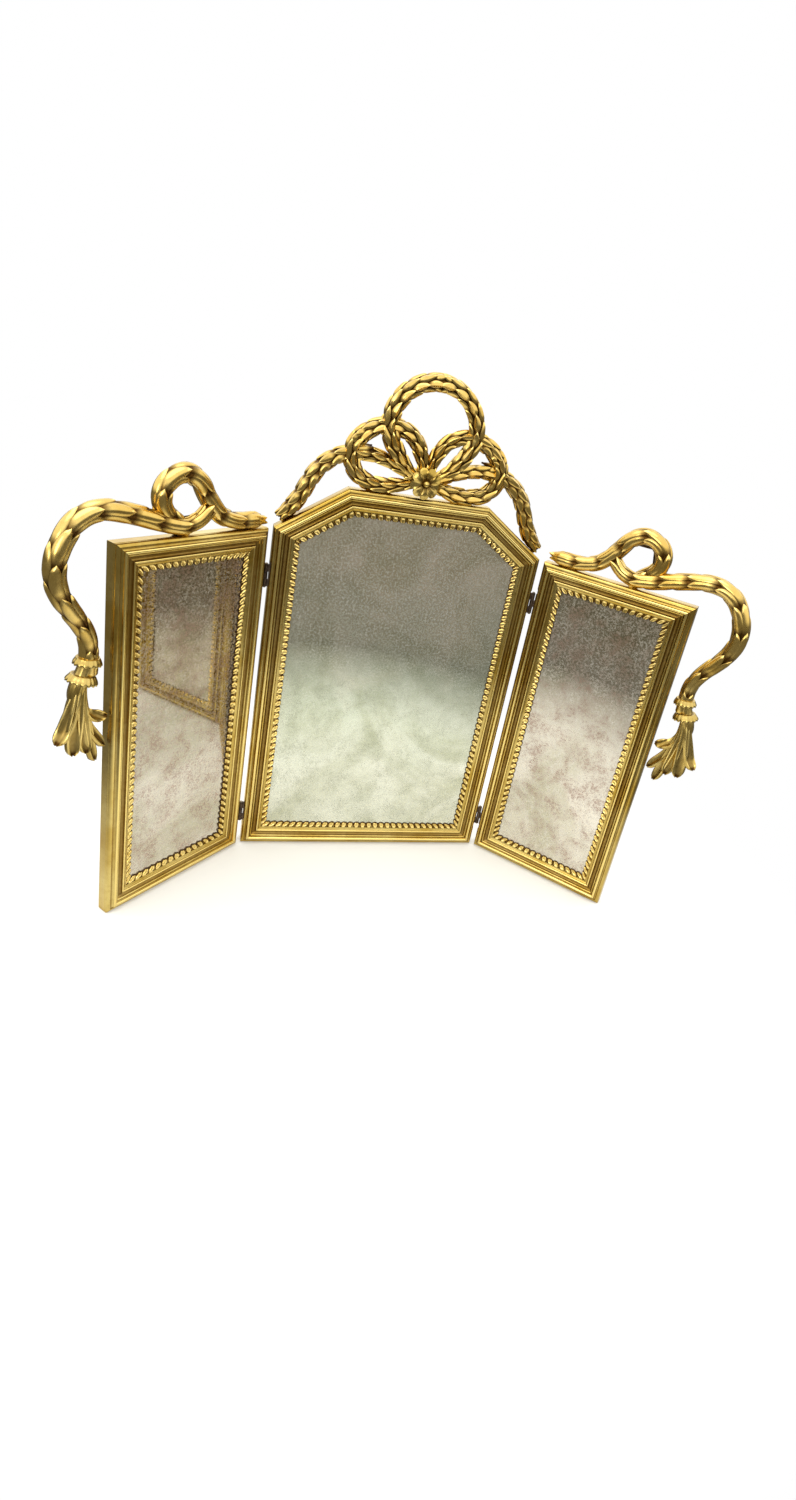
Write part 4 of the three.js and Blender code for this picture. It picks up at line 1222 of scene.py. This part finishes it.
# Straight down is 0, the horizon is 0.5 and straight up is 1.
SKY = (
    (0.0, (0.15, 0.146, 0.135)),
    (0.44, (0.14, 0.134, 0.12)),
    (0.49, (0.07, 0.07, 0.06)),
    (0.54, (0.45, 0.45, 0.42)),
    (0.60, (1.0, 0.99, 0.94)),
    (1.0, (1.0, 1.0, 1.0)),
)
SKY_STRENGTH = 1.65


def emission_world():
    """White where the camera sees it; for light and reflections, a bright sky over a dark ground."""
    world = bpy.data.worlds.new("studio")
    bpy.context.scene.world = world
    world.use_nodes = True
    nodes, links = world.node_tree.nodes, world.node_tree.links
    nodes.clear()
    output = nodes.new("ShaderNodeOutputWorld")
    mix = nodes.new("ShaderNodeMixShader")
    backdrop = nodes.new("ShaderNodeBackground")
    sky = nodes.new("ShaderNodeBackground")
    coordinates = nodes.new("ShaderNodeTexCoord")
    split = nodes.new("ShaderNodeSeparateXYZ")
    ramp = nodes.new("ShaderNodeValToRGB")
    path = nodes.new("ShaderNodeLightPath")
    backdrop.inputs["Color"].default_value = (1, 1, 1, 1)
    backdrop.inputs["Strength"].default_value = 1.0
    links.new(coordinates.outputs["Generated"], split.inputs[0])
    rise = nodes.new("ShaderNodeMath")
    rise.operation = "MULTIPLY_ADD"
    rise.inputs[1].default_value = 0.5
    rise.inputs[2].default_value = 0.5
    links.new(split.outputs["Z"], rise.inputs[0])
    links.new(rise.outputs[0], ramp.inputs["Fac"])
    elements = ramp.color_ramp.elements
    while len(elements) < len(SKY):
        elements.new(0.5)
    for element, (place, colour) in zip(elements, SKY):
        element.position = place
        element.color = (*colour, 1)
    links.new(ramp.outputs["Color"], sky.inputs["Color"])
    sky.inputs["Strength"].default_value = SKY_STRENGTH
    links.new(path.outputs["Is Camera Ray"], mix.inputs["Fac"])
    links.new(sky.outputs[0], mix.inputs[1])
    links.new(backdrop.outputs[0], mix.inputs[2])
    links.new(mix.outputs[0], output.inputs["Surface"])


def area_light(name, location, target, size, power, colour=(1, 1, 1)):
    light = bpy.data.lights.new(name, "AREA")
    light.shape = "DISK"
    light.size = size
    light.energy = power
    light.color = colour
    obj = bpy.data.objects.new(name, light)
    obj.location = location
    obj.rotation_euler = (Vector(target) - Vector(location)).to_track_quat("-Z", "Y").to_euler()
    bpy.context.scene.collection.objects.link(obj)


FLOOR_RADIUS = 0.95
FLOOR_SOLID = 0.42


def pale_floor():
    """A round pale floor that fades away into the white backdrop."""
    sides = 96
    mesh = bpy.data.meshes.new("floor")
    turns = [2 * math.pi * k / sides for k in range(sides)]
    rim = [(FLOOR_RADIUS * math.cos(turn), FLOOR_RADIUS * math.sin(turn), 0) for turn in turns]
    mesh.from_pydata(rim, [], [tuple(range(sides))])
    floor = bpy.data.objects.new("floor", mesh)
    floor.location.z = -0.0005
    bpy.context.scene.collection.objects.link(floor)
    material, shader = new_material("pale_floor")
    graph = Graph(material)
    reach = graph.nodes.new("ShaderNodeVectorMath")
    reach.operation = "LENGTH"
    graph.link(graph.coordinates, reach.inputs[0])
    fade = graph.ramp(reach.outputs["Value"], (FLOOR_SOLID, 1.0), (FLOOR_RADIUS - 0.03, 0.0))
    graph.link(fade, shader.inputs["Alpha"])
    shader.inputs["Base Color"].default_value = (0.72, 0.72, 0.70, 1)
    shader.inputs["Roughness"].default_value = 0.9
    shader.inputs["Emission Color"].default_value = (1, 1, 1, 1)
    shader.inputs["Emission Strength"].default_value = 0.10
    mesh.materials.append(material)


CAMERA_FROM_CREST = Vector((-0.3202, -1.2138, 0.9412))
CAMERA_FORWARD = Vector((0.28405, 0.88378, -0.37182))
CAMERA_RIGHT = Vector((0.95570, -0.22975, 0.18402))
CAMERA_LENS = 17.91
CAMERA_SHIFT = (-0.0229, -0.0639)


def camera():
    data = bpy.data.cameras.new("camera")
    data.sensor_width = 36
    data.lens = CAMERA_LENS
    data.shift_x, data.shift_y = CAMERA_SHIFT
    obj = bpy.data.objects.new("camera", data)
    forward = CAMERA_FORWARD.normalized()
    right = (CAMERA_RIGHT - forward * CAMERA_RIGHT.dot(forward)).normalized()
    up = right.cross(forward)
    turn = Matrix((right, up, -forward)).transposed()
    crest_plane = centre.matrix.translation
    obj.matrix_world = Matrix.Translation(crest_plane + CAMERA_FROM_CREST) @ turn.to_4x4()
    bpy.context.scene.collection.objects.link(obj)
    bpy.context.scene.camera = obj


emission_world()
area_light("sky_panel", (-0.5, -0.3, 2.6), (0, 0, 0.4), 2.4, 24, (1.0, 0.99, 0.96))
area_light("front_fill", (-1.6, -2.4, 1.3), (0, 0, 0.4), 1.2, 14, (1.0, 0.97, 0.92))
pale_floor()
camera()
bpy.context.scene.view_settings.view_transform = "Standard"
